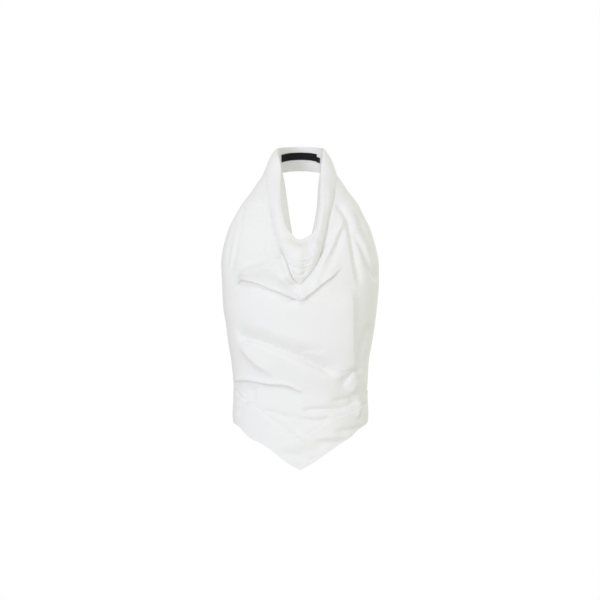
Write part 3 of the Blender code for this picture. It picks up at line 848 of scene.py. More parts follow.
@dataclass
class FrontFolds:
    """Folds of the front and its hem bands, as long, deep and uneven as they show."""

    side_turn: float = 91.0      # where the side seams stand
    seam_flat: float = 3.0       # no fold within this turn of a side seam, in degrees
    seam_calm: float = 9.0       # and folds die out over this turn before that
    folds: tuple[Fold, ...] = (
        # second drape, its pulls and its hollows
        Fold(14.5, 24, 17, (30, 26), ((-124, -230), (-98, -221), (-76, -215), (-56, -213),
             (-40, -220), (-26, -232), (-14, -246)), crisp=0.6, spread=0.8),
        Fold(1.6, 2.4, 1.6, (12, 6), ((-125, -245), (-117, -236), (-110, -231), (-96, -232.5),
             (-77, -239), (-58, -247), (-39, -254), (-20, -262), (-2, -269)), roll=1.6),
        Fold(-4.2, 1.3, 11, (26, 3), ((-125, -248), (-117, -239), (-110, -234), (-96, -235.5),
             (-77, -242), (-58, -250), (-39, -257), (-20, -265), (0, -273))),
        Fold(8.0, 18, 2.6, (5, 34), ((-2, -271), (19, -255), (37.6, -239), (56.8, -224.5),
             (72, -213), (82, -205)), roll=2.2, spread=0.5),
        Fold(-5.0, 5, 20, (16, 3), ((-14, -240), (-7, -252), (-3, -270)), crisp=0.7),
        Fold(3.8, 5, 9, (10, 4), ((6, -240), (6, -254), (3, -270)), crisp=0.6),
        Fold(2.4, 6, 6, (20, 24), ((-121, -230), (-115, -226), (-96, -219), (-73, -213),
             (-50, -206)), crisp=0.5),
        Fold(-3.4, 8, 5, (14, 20), ((-123, -226), (-106, -213), (-87, -204), (-58, -197))),
        Fold(1.4, 3, 4, (14, 8), ((-53, -208), (-34, -232), (-20, -248), (-6, -262)), crisp=0.8),
        Fold(-1.2, 4, 3, (14, 8), ((-50, -206), (-31, -229), (-17, -245), (-6, -255))),
        Fold(4.6, 6, 6, (20, 26), ((17, -248), (38, -213), (57, -175), (72, -140), (86, -108)),
             crisp=0.4),
        Fold(-3.4, 7, 6, (18, 22), ((9, -252), (34, -217), (49, -198), (64, -175), (76, -146),
             (85, -126))),
        Fold(-2.6, 5, 6, (16, 20), ((30, -246), (50, -214), (68, -180), (80, -150))),
        # armhole folds
        Fold(-3.2, 6, 5, (16, 24), ((-105, -84), (-110, -98), (-118, -140), (-125, -184),
             (-132, -213), (-138, -236))),
        Fold(-2.0, 4, 4, (14, 20), ((-120, -112), (-131, -156), (-136, -190), (-142, -219))),
        Fold(2.0, 4, 5, (16, 22), ((-112, -112), (-124, -156), (-130, -190), (-136, -224)),
             crisp=0.5),
        Fold(-6.8, 7, 5, (20, 26), ((64, -82), (68, -89), (78, -98), (86, -112), (92, -127),
             (96, -146), (99, -165), (102, -184), (105, -204), (109, -223), (114, -248)),
             crisp=0.3),
        Fold(1.9, 8, 6, (18, 24), ((80, -92), (94, -112), (102, -140), (108, -176),
             (114, -214)), crisp=0.4),
        Fold(-4.6, 6, 5, (18, 22), ((99, -134), (108, -156), (116, -171), (124, -190), (131, -207),
             (139, -223), (147, -240))),
        Fold(2.4, 5, 5, (16, 22), ((112, -140), (122, -164), (131, -190), (139, -214)), crisp=0.5),
        Fold(-3.0, 5, 5, (16, 20), ((112, -102), (119, -126), (127, -150), (134, -178),
             (142, -206))),
        Fold(-2.0, 4, 5, (14, 16), ((104, -96), (112, -118), (119, -146), (125, -168))),
        # small crinkles on the left chest
        Fold(-1.3, 5, 4, (10, 12), ((-106, -101), (-92, -110), (-77, -119), (-66, -124))),
        Fold(-1.2, 4, 4, (10, 12), ((-79, -119), (-94, -133), (-110, -150))),
        Fold(0.9, 4, 4, (8, 8), ((-104, -127), (-92, -124), (-84, -127))),
        Fold(-1.5, 5, 4, (24, 26), ((-69, -44), (-67, -79), (-66, -127), (-64, -175),
             (-57, -200)), crisp=0.4),
        Fold(1.2, 6, 6, (24, 26), ((-62, -60), (-60, -100), (-59, -140), (-56, -185))),
        # where the cloth dips beside the collar's free edges
        Fold(-1.8, 2.2, 2.6, (16, 16), ((-67.5, -36), (-64, -48), (-59.5, -76), (-54.2, -110),
             (-45, -150), (-37, -175), (-27, -198))),
        Fold(-1.8, 2.6, 2.2, (16, 16), ((66.5, -48), (64, -76), (55.5, -110), (47.5, -150),
             (41.5, -175), (33, -198))),
        # small turned edge and hook beside the collar's tip
        Fold(3.4, 5, 1.8, (7, 9), ((-47, -195), (-43, -190), (-37, -189.5), (-32.5, -194),
             (-29.5, -204), (-26, -215), (-22, -227), (-15, -236), (-8, -239)), roll=1.3),
        Fold(-2.6, 2.0, 2.4, (5, 26), ((-48, -194), (-43, -188), (-36.5, -187.5), (-32, -195),
             (-30, -206), (-26.5, -217), (-21.5, -229), (-16, -236))),
        # waist
        Fold(-12.5, 13, 6, (14, 34), ((-121, -343), (-114, -341), (-106, -340), (-92, -343),
             (-77, -347), (-48, -358), (-22, -368), (-2, -376), (20, -388), (47, -401),
             (76, -409)), crisp=0.7),
        Fold(3.0, 12, 26, (24, 26), ((-96, -358), (-66, -371), (-24, -389), (14, -407),
             (50, -423), (86, -435))),
        Fold(7.6, 15, 6.5, (20, 40), ((-114, -354), (-98, -373), (-80, -391), (-62, -404),
             (-42, -416)), crisp=0.5),
        Fold(2.6, 8, 2.0, (12, 16), ((-130, -424), (-102, -422), (-83, -425), (-58, -429),
             (-33, -430), (-20, -433), (-6, -439), (8, -447)), roll=1.2, spread=0.6),
        Fold(-2.6, 2.6, 18, (12, 16), ((-130, -427), (-102, -425), (-83, -428), (-58, -432),
             (-33, -434), (-18, -438), (-4, -444), (10, -452))),
        Fold(-2.0, 9, 4.5, (14, 14), ((-6, -368), (14, -364), (34, -366), (50, -370))),
        Fold(5.0, 7, 14, (6, 12), ((107, -405), (105, -420), (100, -437), (90, -452)), crisp=0.5),
        Fold(-3.6, 9, 4, (12, 8), ((77, -437), (84, -427), (91, -416), (98, -405),
             (106, -398))),
        Fold(7.5, 9, 28, (44, 16), ((93, -240), (95, -280), (95, -320), (96, -356), (97, -396),
             (103, -412)), crisp=0.3),
        Fold(-4.0, 7, 8, (20, 20), ((134, -310), (123, -343), (115, -368), (111, -404),
             (112, -434))),
        Fold(2.4, 6, 6, (20, 20), ((126, -348), (118, -380), (118, -412), (121, -446)), crisp=0.5),
        Fold(-1.4, 12, 12, (26, 26), ((68, -330), (82, -322), (96, -312))),
        # above the right hem band
        Fold(-5.6, 7, 12, (30, 14), ((48, -463), (62, -462), (80, -460), (96, -456), (110, -450))),
        Fold(-4.6, 4, 6, (18, 10), ((-2, -480), (18, -477), (34, -476), (62, -476),
             (84, -473), (100, -466), (112, -459)), crisp=0.7, spread=1.2),
        Fold(-4.2, 4, 8, (16, 14), ((-4, -493), (12, -496), (28, -498), (44, -496),
             (60, -491))),
        Fold(-1.8, 6, 4, (14, 12), ((-40, -486), (-20, -490), (-6, -494), (6, -502))),
        Fold(-1.6, 4, 4, (14, 14), ((-68, -479), (-48, -483), (-30, -490), (-14, -500))),
        Fold(-2.2, 11, 5, (24, 10), ((-92, -468), (-60, -489), (-30, -509), (-4, -527)), crisp=0.3),
        # hem bands, the mitre first
        Fold(4.2, 13, 34, (6, 18), ((-1, -527), (-5, -545), (-4, -562)), crisp=0.7),
        Fold(-3.6, 6, 12, (20, 22), ((18, -540), (34, -540), (57, -540), (80, -538), (94, -533))),
        Fold(-3.8, 6, 11, (18, 18), ((62, -521), (76, -519), (91, -517), (113, -513),
             (122, -509))),
        Fold(-1.8, 6, 5, (12, 14), ((12, -553), (19, -553), (33, -553), (50, -548))),
        Fold(-1.4, 4, 4, (8, 8), ((13, -571), (24, -570), (36, -567))),
        Fold(-1.6, 8, 8, (14, 16), ((-40, -556), (-20, -562), (2, -566), (16, -564))),
        Fold(2.0, 6, 6, (16, 16), ((24, -530), (50, -529), (80, -527), (104, -524)), crisp=0.4),
        # corners by the side seams
        Fold(-2.8, 2.4, 12, (12, 8), ((-87, -430), (-86.5, -448), (-87, -464))),
        Fold(-2.6, 5, 5, (8, 10), ((-97, -463), (-104, -473), (-110, -480), (-118, -493))),
        Fold(2.0, 6, 6, (8, 10), ((-104, -446), (-112, -462), (-121, -478))),
        Fold(-4.8, 4, 4, (8, 12), ((121, -462), (120, -469), (116, -484), (110, -502)),
             crisp=0.3),
        Fold(3.0, 4, 5, (8, 12), ((116, -462), (114, -472), (110, -484), (104, -497)),
             crisp=0.6),
    )

    def move(self, form: BodyForm, turn: Values, height: Values) -> Values:
        """Lift and slide of every fold on the front.

        Args:
            form: The body form under the cloth.
            turn: Degrees round from the centre front.
            height: Height of each place.

        Returns:
            Lift, move to the right and move up, stacked last; none at the side seams.
        """
        flat = form.place(turn, height)[0]
        calm = ease((self.side_turn - self.seam_flat - np.abs(turn)) / self.seam_calm)
        return folds_move(self.folds, flat[..., 0], flat[..., 2]) * calm[..., None]


@dataclass
class CowlCollar(Panel):
    """The folded band round the neck, deep at the centre front.

    Shares run down the outer layer, from 0 at the fold to 1 at the free edge.
    """

    form: BodyForm
    under: FrontFolds
    wall: float = 0.9
    hem_wall: float = 0.4        # how much thicker the hemmed edge is
    hem_share: float = 0.03      # and over which share of the way across
    settle: float = 2.2          # how far the free edge sinks towards the front
    settle_from: float = 1.0     # where it stands off by more than this
    settle_over: float = 2.0
    crease_calm: float = 0.85    # how much of a crease's lift dies out at the free edge
    crease_calm_power: int = 8
    crease_haste: float = 6.0    # creases reach their full height at one share in this many
    under_power: int = 3         # how late the folds of the front below show through
    stations: int = 420
    crowding: float = 0.25       # how much closer they stand at the centre front than on average
    fold_steps: int = 10
    outer_steps: int = 56
    inner_steps: int = 16
    front: tuple[FrontRow, ...] = (
        FrontRow(0.0, 0.0, -156, 7.0, 0.0, 0.0, -238, 4.0, 6.0, 2.6, -1.5, 1.5, -150, -194),
        FrontRow(8.0, 7.0, -154, 6.9, 11.0, 6.5, -232, 3.9, 6.0, 2.6, 2.5, 5.5, -149, -190),
        FrontRow(14.7, 19.0, -147, 6.6, 17.5, 19.5, -218, 3.8, 5.6, 2.6, 7.5, 11.0, -146, -178),
        FrontRow(22.9, 27.9, -137, 6.2, 24.5, 31.5, -198, 3.7, 5.2, 2.6, 12.5, 17.5, -141, -160),
        FrontRow(31.0, 32.9, -118, 5.6, 35.0, 40.0, -175, 3.8, 4.8, 2.5, 16.0, 22.5, -133, -142),
        FrontRow(34.6, 35.7, -98, 5.0, 43.0, 46.0, -150, 3.4, 4.4, 2.4, 20.0, 27.8, -123, -118),
        FrontRow(36.7, 37.4, -60, 4.4, 52.3, 54.0, -110, 3.2, 4.0, 2.3, 24.5, 32.4, -103, -86),
        FrontRow(36.1, 38.6, -26, 4.0, 57.4, 63.0, -76, 3.4, 3.6, 2.1, 28.5, 34.0, -84, -58),
        FrontRow(38.7, 41.0, -3, 3.6, 62.0, 65.5, -48, 3.6, 3.2, 1.9, 32.0, 36.5, -66, -38),
        FrontRow(43.0, 43.0, 20.5, 3.2, 66.2, 66.2, -29, 3.6, 2.8, 1.7, 36.5, 39.5, -48, -28),
    )
    back: tuple[BackRow, ...] = (
        BackRow(112, 22.0, 3.0, 96, -27.0, 3.6, 2.2, 1.5, 37.5, -30, -26.0),
        BackRow(134, 23.6, 2.8, 122, -24.6, 1.8, 0.8, 1.3, 29.0, -13.5, -24.2),
        BackRow(157, 24.9, 2.7, 150, -22.4, 1.3, 0.2, 1.2, 16.5, -3.2, -22.2),
        BackRow(180, 25.4, 2.7, 180, -21.4, 1.2, 0.0, 1.2, 0.0, 0.8, -21.4),
    )
    creases: tuple[Fold, ...] = (
        # the keel where the collar turns at the centre front, the shade on its right, and the
        # soft roll that runs round under the fold
        Fold(6.0, 19, 26, (24, 18), ((-1, -150), (-2, -180), (-2, -236)), crisp=0.6),
        Fold(-2.0, 7, 9, (16, 18), ((26, -146), (16, -172), (12, -200), (8, -224))),
        Fold(6.5, 13, 34, (14, 14), ((-38, -158), (-20, -170), (0, -174), (20, -170),
             (38, -156))),
        # crinkles below the fold, where the band bends round
        Fold(-1.7, 3.4, 2.4, (9, 9), ((-11, -186), (0, -190), (13, -188), (24, -179))),
        Fold(1.3, 2.6, 2.2, (8, 8), ((-2, -194), (10, -193), (22, -185)), crisp=0.4),
        Fold(-2.4, 2.2, 2.6, (7, 9), ((-19, -194), (-7, -199), (7, -198), (15, -194))),
        Fold(1.6, 2.2, 2.0, (6, 6), ((-15, -200), (-4, -203.5), (5, -203)), crisp=0.4),
        Fold(-2.2, 2.2, 2.4, (6, 6), ((1, -204), (11, -203), (21, -196))),
        Fold(1.6, 2.2, 2.0, (6, 6), ((3, -208), (11, -207), (19, -201)), crisp=0.4),
        Fold(-2.7, 2.4, 2.6, (6, 8), ((-16, -205), (-7, -210), (6, -211), (15, -206))),
        Fold(-1.7, 2.0, 2.4, (5, 6), ((-12, -213), (-3, -216), (6, -215.5))),
        Fold(-2.2, 2.0, 2.4, (5, 5), ((0, -219.5), (8, -217.5), (14, -211))),
        Fold(-3.6, 4.5, 2.6, (5, 5), ((-16, -220), (-6, -223.5), (5, -223), (13, -218))),
        # the tip, turned up towards the light
        Fold(3.0, 8, 4, (6, 4), ((-18, -225), (-9, -232), (0, -236.5), (4, -234))),
        Fold(1.6, 4, 3, (4, 4), ((10, -222), (5, -229), (0, -237)), crisp=0.5),
        # a bright pull on the right of the keel
        Fold(1.2, 3, 3, (8, 8), ((20, -178), (14, -186), (5, -190)), crisp=0.6),
        # long soft waves down the two arms of the band
        Fold(1.0, 4, 6, (18, 18), ((-42, -72), (-44, -110), (-38, -146), (-26, -184))),
        Fold(-1.0, 6, 5, (18, 18), ((45, -60), (46, -110), (38, -150), (27, -186))),
        Fold(3.6, 14, 5, (26, 22), ((43, -30), (43, -80), (39, -118), (30, -150), (16, -172)),
             crisp=0.5),
        Fold(0.9, 5, 4, (18, 18), ((53, -40), (53, -90), (47, -135), (36, -172)), crisp=0.4),
    )

    def __post_init__(self) -> None:
        """Joins the front and back rows into one ring, measured along its fold."""
        left, right = self.side_rows(Side.LEFT), self.side_rows(Side.RIGHT)
        self.rows = np.array(left[:0:-1] + right, float)
        line = self.form.point(self.rows[:, 0], self.rows[:, 1], self.rows[:, 2])
        self.places = np.concatenate(
            [[0], np.cumsum(np.linalg.norm(np.diff(line, axis=0), axis=1))])
        self.length = float(self.places[-1])
        self.corners = (float(self.places[len(self.back)]),
                        float(self.places[-len(self.back) - 1]))

    def side_rows(self, side: Side) -> list[tuple[float, ...]]:
        """The rows of one side, from the centre front round to the nape.

        Args:
            side: Which side.

        Returns:
            Each row's sizes, those across taken to that side, and those of the front given by
            their turn.
        """
        name, way = side.name.lower(), side.value

        def turn(row: FrontRow, part: str) -> float:
            """The turn of the fold or the free edge on this side."""
            return float(self.form.turn_at(way * getattr(row, f"{part}_{name}"),
                                           getattr(row, f"{part}_height")))

        ahead = [(turn(row, "fold"), row.fold_height, row.fold_lift, turn(row, "edge"),
                  row.edge_height, row.edge_lift, row.bulge, row.roll,
                  way * getattr(row, "inner_" + name), row.inner_y, row.inner_height)
                 for row in self.front]
        behind = [(way * row.fold_turn, row.fold_height, row.fold_lift, way * row.edge_turn,
                   row.edge_height, row.edge_lift, row.bulge, row.roll,
                   way * row.inner_x, row.inner_y, row.inner_height)
                  for row in self.back]
        return ahead + behind

    def values(self, place: Values) -> list[Values]:
        """All sizes of the band at places along its fold."""
        return [smooth_table(place, self.places, column) for column in self.rows.T]

    def outer(self, place: Values, share: float) -> Values:
        """The outer layer at one share, laid over the front and its folds.

        Args:
            place: Places along the fold.
            share: How far down from the fold, up to 1 at the free edge.

        Returns:
            A point for each place.
        """
        fold_turn, fold_z, fold_lift, edge_turn, edge_z, edge_lift, bulge = \
            self.values(place)[:7]
        turn = fold_turn + (edge_turn - fold_turn) * share
        height = fold_z + (edge_z - fold_z) * share
        lift = fold_lift + (edge_lift - fold_lift) * share + bulge * 4 * share * (1 - share)
        late = share ** self.under_power
        lift = lift - self.settle * ease((edge_lift - self.settle_from) / self.settle_over) * late
        ahead = np.abs(turn) < HALF_TURN / 2
        below = self.under.move(self.form, turn, height)[..., 0] * ahead
        below = below * late + np.maximum(below, 0) * (share - late)
        flat, out = self.form.place(turn, height)
        crease = folds_move(self.creases, flat[..., 0], flat[..., 2]) * ahead[..., None] \
            * float(ease(share * self.crease_haste))
        calm = 1 - self.crease_calm * share ** self.crease_calm_power
        lifted = (lift + below + crease[..., 0] * calm)[..., None]
        return flat + out * lifted + self.form.slide(out, crease[..., 1], crease[..., 2])

    def profile(self, place: Values) -> Values:
        """Points across the band, from its inner edge over its fold to its outer edge.

        Args:
            place: Places along the fold.

        Returns:
            A row of points for each place.
        """
        fold_turn, fold_height, *_, roll, inner_x, inner_y, inner_height = self.values(place)
        roll = roll[:, None]
        inner_edge = np.stack([inner_x, inner_y, inner_height], axis=-1)
        top = self.outer(place, 0.0)
        towards_edge = unit(self.outer(place, 1 / self.crease_haste) - top)
        outward = unit(top - self.form.point(fold_turn, fold_height, 0.0))
        centre = top - outward * roll + towards_edge * roll
        inner_top = centre - outward * roll
        points = [inner_edge + (inner_top - inner_edge) * step / self.inner_steps
                  for step in range(self.inner_steps)]
        for step in range(self.fold_steps + 1):
            angle = math.pi * step / self.fold_steps
            points.append(centre - outward * roll * math.cos(angle)
                          - towards_edge * roll * math.sin(angle))
        start = points.pop() - top
        for step in range(self.outer_steps + 1):
            share = step / self.outer_steps
            points.append(self.outer(place, share) + start * (1 - share) ** 2)
        return np.stack(points, axis=1)

    def sheet(self) -> Cloth:
        """The band, a little thicker along its outer edge, where it is hemmed.

        Returns:
            Its cloth, closed into a ring.
        """
        share = np.arange(self.stations) / self.stations
        crowded = share + self.crowding * np.sin(2 * math.pi * share) / (2 * math.pi)
        middle = self.profile(crowded * self.length)
        across = np.linspace(0, 1, middle.shape[1])[None, :]
        wall = self.wall + self.hem_wall * soft_step(1 - across, self.hem_share)
        return Cloth("cowl_collar_cloth", middle, wall * np.ones((self.stations, 1)), ring=True)


@dataclass(frozen=True)
class HemRow:
    """The seam above the hem band and the hem itself, at a turn round the body."""

    turn: float
    seam: float
    hem: float


@dataclass(frozen=True)
class HemLine:
    """The pointed hem and the seam above it."""

    rows: tuple[HemRow, ...] = (
        HemRow(-180, -441, -500), HemRow(-100, -440, -500), HemRow(-90, -440, -501),
        HemRow(-78, -442, -505), HemRow(-65, -450, -510), HemRow(-55, -458, -520),
        HemRow(-46, -465, -531.5), HemRow(-31, -481, -543), HemRow(-23, -492, -553.5),
        HemRow(-10, -511, -576), HemRow(0, -528.5, -591), HemRow(9, -516, -577),
        HemRow(16, -505, -566), HemRow(24, -496.5, -554.5), HemRow(33, -489, -543.5),
        HemRow(43, -485, -532.5), HemRow(54, -477.5, -521.5), HemRow(66, -467, -510.5),
        HemRow(78, -453, -505), HemRow(90, -441, -501), HemRow(100, -440, -500),
        HemRow(180, -441, -500),
    )

    def at(self, turn: Values, name: str) -> Values:
        """Height of the hem or the seam; both come to a point at the centre front.

        Args:
            turn: Degrees round from the centre front.
            name: The column to read, seam or hem.

        Returns:
            The height at each turn.
        """
        read = wrapped(turn)
        halves = []
        for side in Side:
            rows = [row for row in self.rows if row.turn * side.value >= 0]
            halves.append(smooth_table(read, [row.turn for row in rows],
                                       [getattr(row, name) for row in rows]))
        return np.where(read < 0, halves[0], halves[1])


@dataclass
class FrontPanel(Panel):
    """The front, from under the collar to the seam above the hem bands."""

    form: BodyForm
    folds: FrontFolds
    collar: CowlCollar
    hem: HemLine
    wall: float = 0.8
    hem_wall: float = 0.5        # how much thicker the turned armhole edges are
    hem_width: float = 5.5
    width: float = 420.0         # of the cloth, armhole edge to armhole edge
    columns: int = 208
    rows: int = 228
    tuck: float = 0.55           # where its top edge lies under the collar, from fold to edge
    corner_haste: float = 14.0   # how soon its sides leave the top corners for their own line
    seam_tuck: float = 0.5       # how far it sinks at the seam above the bands
    seam_width: float = 2.0
    seam_reach: float = 1.2      # how far it runs on behind the bands
    side_rows: tuple[tuple[float, float], ...] = (
        (0, 76), (-12, 82), (-30, 88), (-60, 90), (-300, 90.5), (-510, 91))

    def side_at(self, height: Values) -> Values:
        """Turn of the armhole edge and side seam at each height."""
        return smooth_table(height, [row[0] for row in self.side_rows],
                            [row[1] for row in self.side_rows])

    def middle(self) -> Values:
        """The middle of the cloth between its four edges, with every fold.

        Returns:
            A grid of points, from edge to edge and then from top to seam.
        """
        across = np.linspace(0, 1, self.columns + 1)
        down = np.linspace(0, 1, self.rows + 1)
        start, end = self.collar.corners
        fold_turn, fold_height, _, edge_turn, edge_height = \
            self.collar.values(start + (end - start) * across)[:5]
        top_turn = fold_turn + (edge_turn - fold_turn) * self.tuck
        top_height = fold_height + (edge_height - fold_height) * self.tuck
        low_turn = self.folds.side_turn * (2 * across - 1)
        low_height = self.hem.at(low_turn, "seam") - self.seam_reach
        u, v = np.meshgrid(across, down, indexing="ij")
        heights = [top_height[side] + (low_height[side] - top_height[side]) * down
                   for side in (0, -1)]
        turns = [-self.side_at(heights[0]), self.side_at(heights[1])]
        grids = []
        for top, low, sides in ((top_turn, low_turn, turns), (top_height, low_height, heights)):
            hasty = (1 - down) ** self.corner_haste
            left = sides[0] + (top[0] - sides[0][0]) * hasty
            right = sides[1] + (top[-1] - sides[1][0]) * hasty
            blend = (1 - v) * top[:, None] + v * low[:, None] + (1 - u) * left + u * right
            grids.append(blend - (1 - u) * (1 - v) * top[0] - u * (1 - v) * top[-1]
                         - (1 - u) * v * low[0] - u * v * low[-1])
        turn, height = grids
        moved = self.folds.move(self.form, turn, height)
        above_seam = height - self.hem.at(turn, "seam")
        lift = moved[..., 0] - self.seam_tuck * soft_step(np.maximum(above_seam, 0),
                                                          self.seam_width)
        flat, out = self.form.place(turn, height)
        return flat + out * lift[..., None] + self.form.slide(out, moved[..., 1], moved[..., 2])

    def sheet(self) -> Cloth:
        """The front, thicker where its armholes are turned in and sewn.

        Returns:
            Its cloth.
        """
        across = np.linspace(0, 1, self.columns + 1)
        from_edge = np.minimum(across, 1 - across)[:, None] * self.width
        wall = self.wall + self.hem_wall * turned_edge(from_edge, self.hem_width) \
            * np.ones((1, self.rows + 1))
        return Cloth("front_panel_cloth", self.middle(), wall)


@dataclass(frozen=True)
class BackCrease:
    """A short upright trough in the back, about its middle."""

    turn: float
    height: float
    depth: float
    length: float


@dataclass
class BackPanel(Panel):
    """The low back between the side seams, with plain soft hollows."""

    form: BodyForm
    hem: HemLine
    front: FrontPanel
    wall: float = 0.8
    hem_wall: float = 0.5        # how much thicker the turned top edge is
    hem_width: float = 6.0
    top: float = -184.0
    dip: float = 16.0            # how far the top edge dips at its middle
    gap: float = 0.12            # between the back and the front at each side seam
    columns: int = 150
    rows: int = 100
    hollows: int = 5
    hollow_depth: float = 4.4
    hollow_grows: float = 120.0      # the height over which a hollow reaches its full depth
    hollow_top_share: float = 0.25   # and what it has of that height at the top edge
    hollow_sides: float = 4.0        # it is full this part of the way in from a side seam
    crease_slant: float = 0.05       # degrees of turn for each millimetre down
    crease_width: float = 2.6        # in degrees of turn
    calm_from: float = 96.0          # no crease nearer the front than this turn
    calm_over: float = 8.0
    creases: tuple[BackCrease, ...] = (
        BackCrease(-128, -218, 4.2, 30), BackCrease(-112, -300, 3.0, 46),
        BackCrease(-146, -262, 3.6, 60), BackCrease(171, -286, 4.4, 66),
        BackCrease(152, -236, 3.2, 38), BackCrease(133, -330, 3.8, 52),
        BackCrease(112, -262, 4.0, 40), BackCrease(-170, -380, 2.8, 40),
        BackCrease(122, -402, 3.4, 36), BackCrease(-124, -398, 3.8, 34))

    def lift(self, turn: Values, height: Values) -> Values:
        """Soft hollows down the back and a few uneven creases between them.

        Args:
            turn: Degrees round from the centre front.
            height: Height of each place.

        Returns:
            How far each place stands out of the body section.
        """
        from_middle = (HALF_TURN - np.abs(turn)) / (HALF_TURN / 2)
        wave = np.cos(math.pi * self.hollows * from_middle) - 1
        grown = (self.top - height) / self.hollow_grows + self.hollow_top_share
        deep = ease((1 - from_middle) * self.hollow_sides) * ease(grown)
        lift = self.hollow_depth / 2 * wave * deep
        calm = ease((np.abs(turn) - self.calm_from) / self.calm_over)
        for crease in self.creases:
            off = (turn - crease.turn) + self.crease_slant * (height - crease.height)
            lift = lift - crease.depth * calm * soft_step(off, self.crease_width) \
                * soft_step(height - crease.height, crease.length)
        return lift

    def sheet(self) -> Cloth:
        """The back, between the side seams and down to the seam above its band.

        Returns:
            Its cloth.
        """
        u, v = grid(self.columns, self.rows)
        side_turn = self.front.folds.side_turn
        low_turn = wrapped(side_turn + (FULL_TURN - 2 * side_turn) * u)
        top = self.top - self.dip * np.sin(math.pi * u) ** 2
        seam = self.hem.at(low_turn, "seam") - self.front.seam_reach
        height = top + (seam - top) * v
        side = self.front.side_at(height) \
            + np.degrees(self.gap / self.form.size(height, "back"))
        turn = wrapped(side + (FULL_TURN - 2 * side) * u)
        above_seam = np.maximum(height - self.hem.at(turn, "seam"), 0)
        lift = self.lift(turn, height) \
            - self.front.seam_tuck * soft_step(above_seam, self.front.seam_width)
        wall = self.wall + self.hem_wall * turned_edge(top - height, self.hem_width)
        return Cloth("back_panel_cloth", self.form.point(turn, height, lift), wall)


@dataclass
class HemBand(Panel):
    """One band of the hem, from its seam down to the hem, between two turns.

    Each end may bow towards the viewer's left by a turn of its own. A front band has the front's
    folds, and the back band the back's hollows.
    """

    name: str
    form: BodyForm
    hem: HemLine
    first: float
    last: float
    columns: int
    bow_first: float = 0.0
    bow_last: float = 0.0
    folds: FrontFolds | None = None
    back: BackPanel | None = None
    rows: int = 44
    wall: float = 1.1
    hem_wall: float = 0.35       # how much thicker the hem's edge is
    hem_width: float = 3.0
    proud: float = 1.3           # how far it stands off the body section
    turned_in: float = 1.3       # how far its top edge turns in, and half as far its ends
    seam_width: float = 1.7
    end_width: float = 0.9
    arc: float = 1.9             # length of one degree of turn

    def sheet(self) -> Cloth:
        """The band; its top edge and its ends turn in a little, as a sewn seam does.

        Returns:
            Its cloth.
        """
        u, v = grid(self.columns, self.rows)
        first = self.first - self.bow_first * np.sin(math.pi * v)
        last = self.last - self.bow_last * np.sin(math.pi * v)
        turn = wrapped(first + (last - first) * u)
        seam, hem = self.hem.at(turn, "seam"), self.hem.at(turn, "hem")
        height = seam + (hem - seam) * v
        if self.folds is not None:
            moved = self.folds.move(self.form, turn, height)
        else:
            moved = np.zeros(turn.shape + (3,))
            moved[..., 0] = self.back.lift(turn, height)
        from_end = np.minimum(u, 1 - u) * abs(self.last - self.first) * self.arc
        lift = moved[..., 0] + self.proud \
            - self.turned_in * soft_step(seam - height, self.seam_width) \
            - 0.5 * self.turned_in * soft_step(from_end, self.end_width)
        flat, out = self.form.place(turn, height)
        middle = flat + out * lift[..., None] \
            + self.form.slide(out, moved[..., 1], moved[..., 2])
        wall = self.wall + self.hem_wall * turned_edge(height - hem, self.hem_width)
        return Cloth(self.name + "_cloth", middle, wall)


@dataclass
class NapePatch(Panel):
    """A patch of tape on the inner face of the nape band.

    First and last are places along the band's fold, measured from the nape. The two shares run
    down its inner layer, from 0 at the fold to 1 at its edge.
    """

    name: str
    collar: CowlCollar
    first: float
    last: float
    top_share: float
    low_share: float
    columns: int
    rows: int = 14
    wall: float = 0.5
    stand_off: float = 1.0
    arch: float = 0.05           # how far it drops at arch_at from the nape, as a share of the band
    arch_at: float = 49.0

    def sheet(self) -> Cloth:
        """The patch, made from the band's own points, moved in towards the neck.

        Returns:
            Its tape.
        """
        along = np.linspace(self.first, self.last, self.columns + 1)
        profile = self.collar.profile((self.collar.length - along) % self.collar.length)
        inner_edge, inner_top = profile[:, 0], profile[:, self.collar.inner_steps]
        drop = self.arch * (along / self.arch_at) ** 2
        share = np.linspace(self.low_share, self.top_share, self.rows + 1)[None, :] \
            + drop[:, None]
        laid = inner_top[:, None] + (inner_edge - inner_top)[:, None] * share[..., None]
        neck_middle = float(self.collar.form.size(0.0, "middle"))
        inward = unit(laid * (-1, -1, 0) + np.array([0, neck_middle, 0]))
        return Cloth(self.name + "_tape", laid + inward * self.stand_off, self.wall)


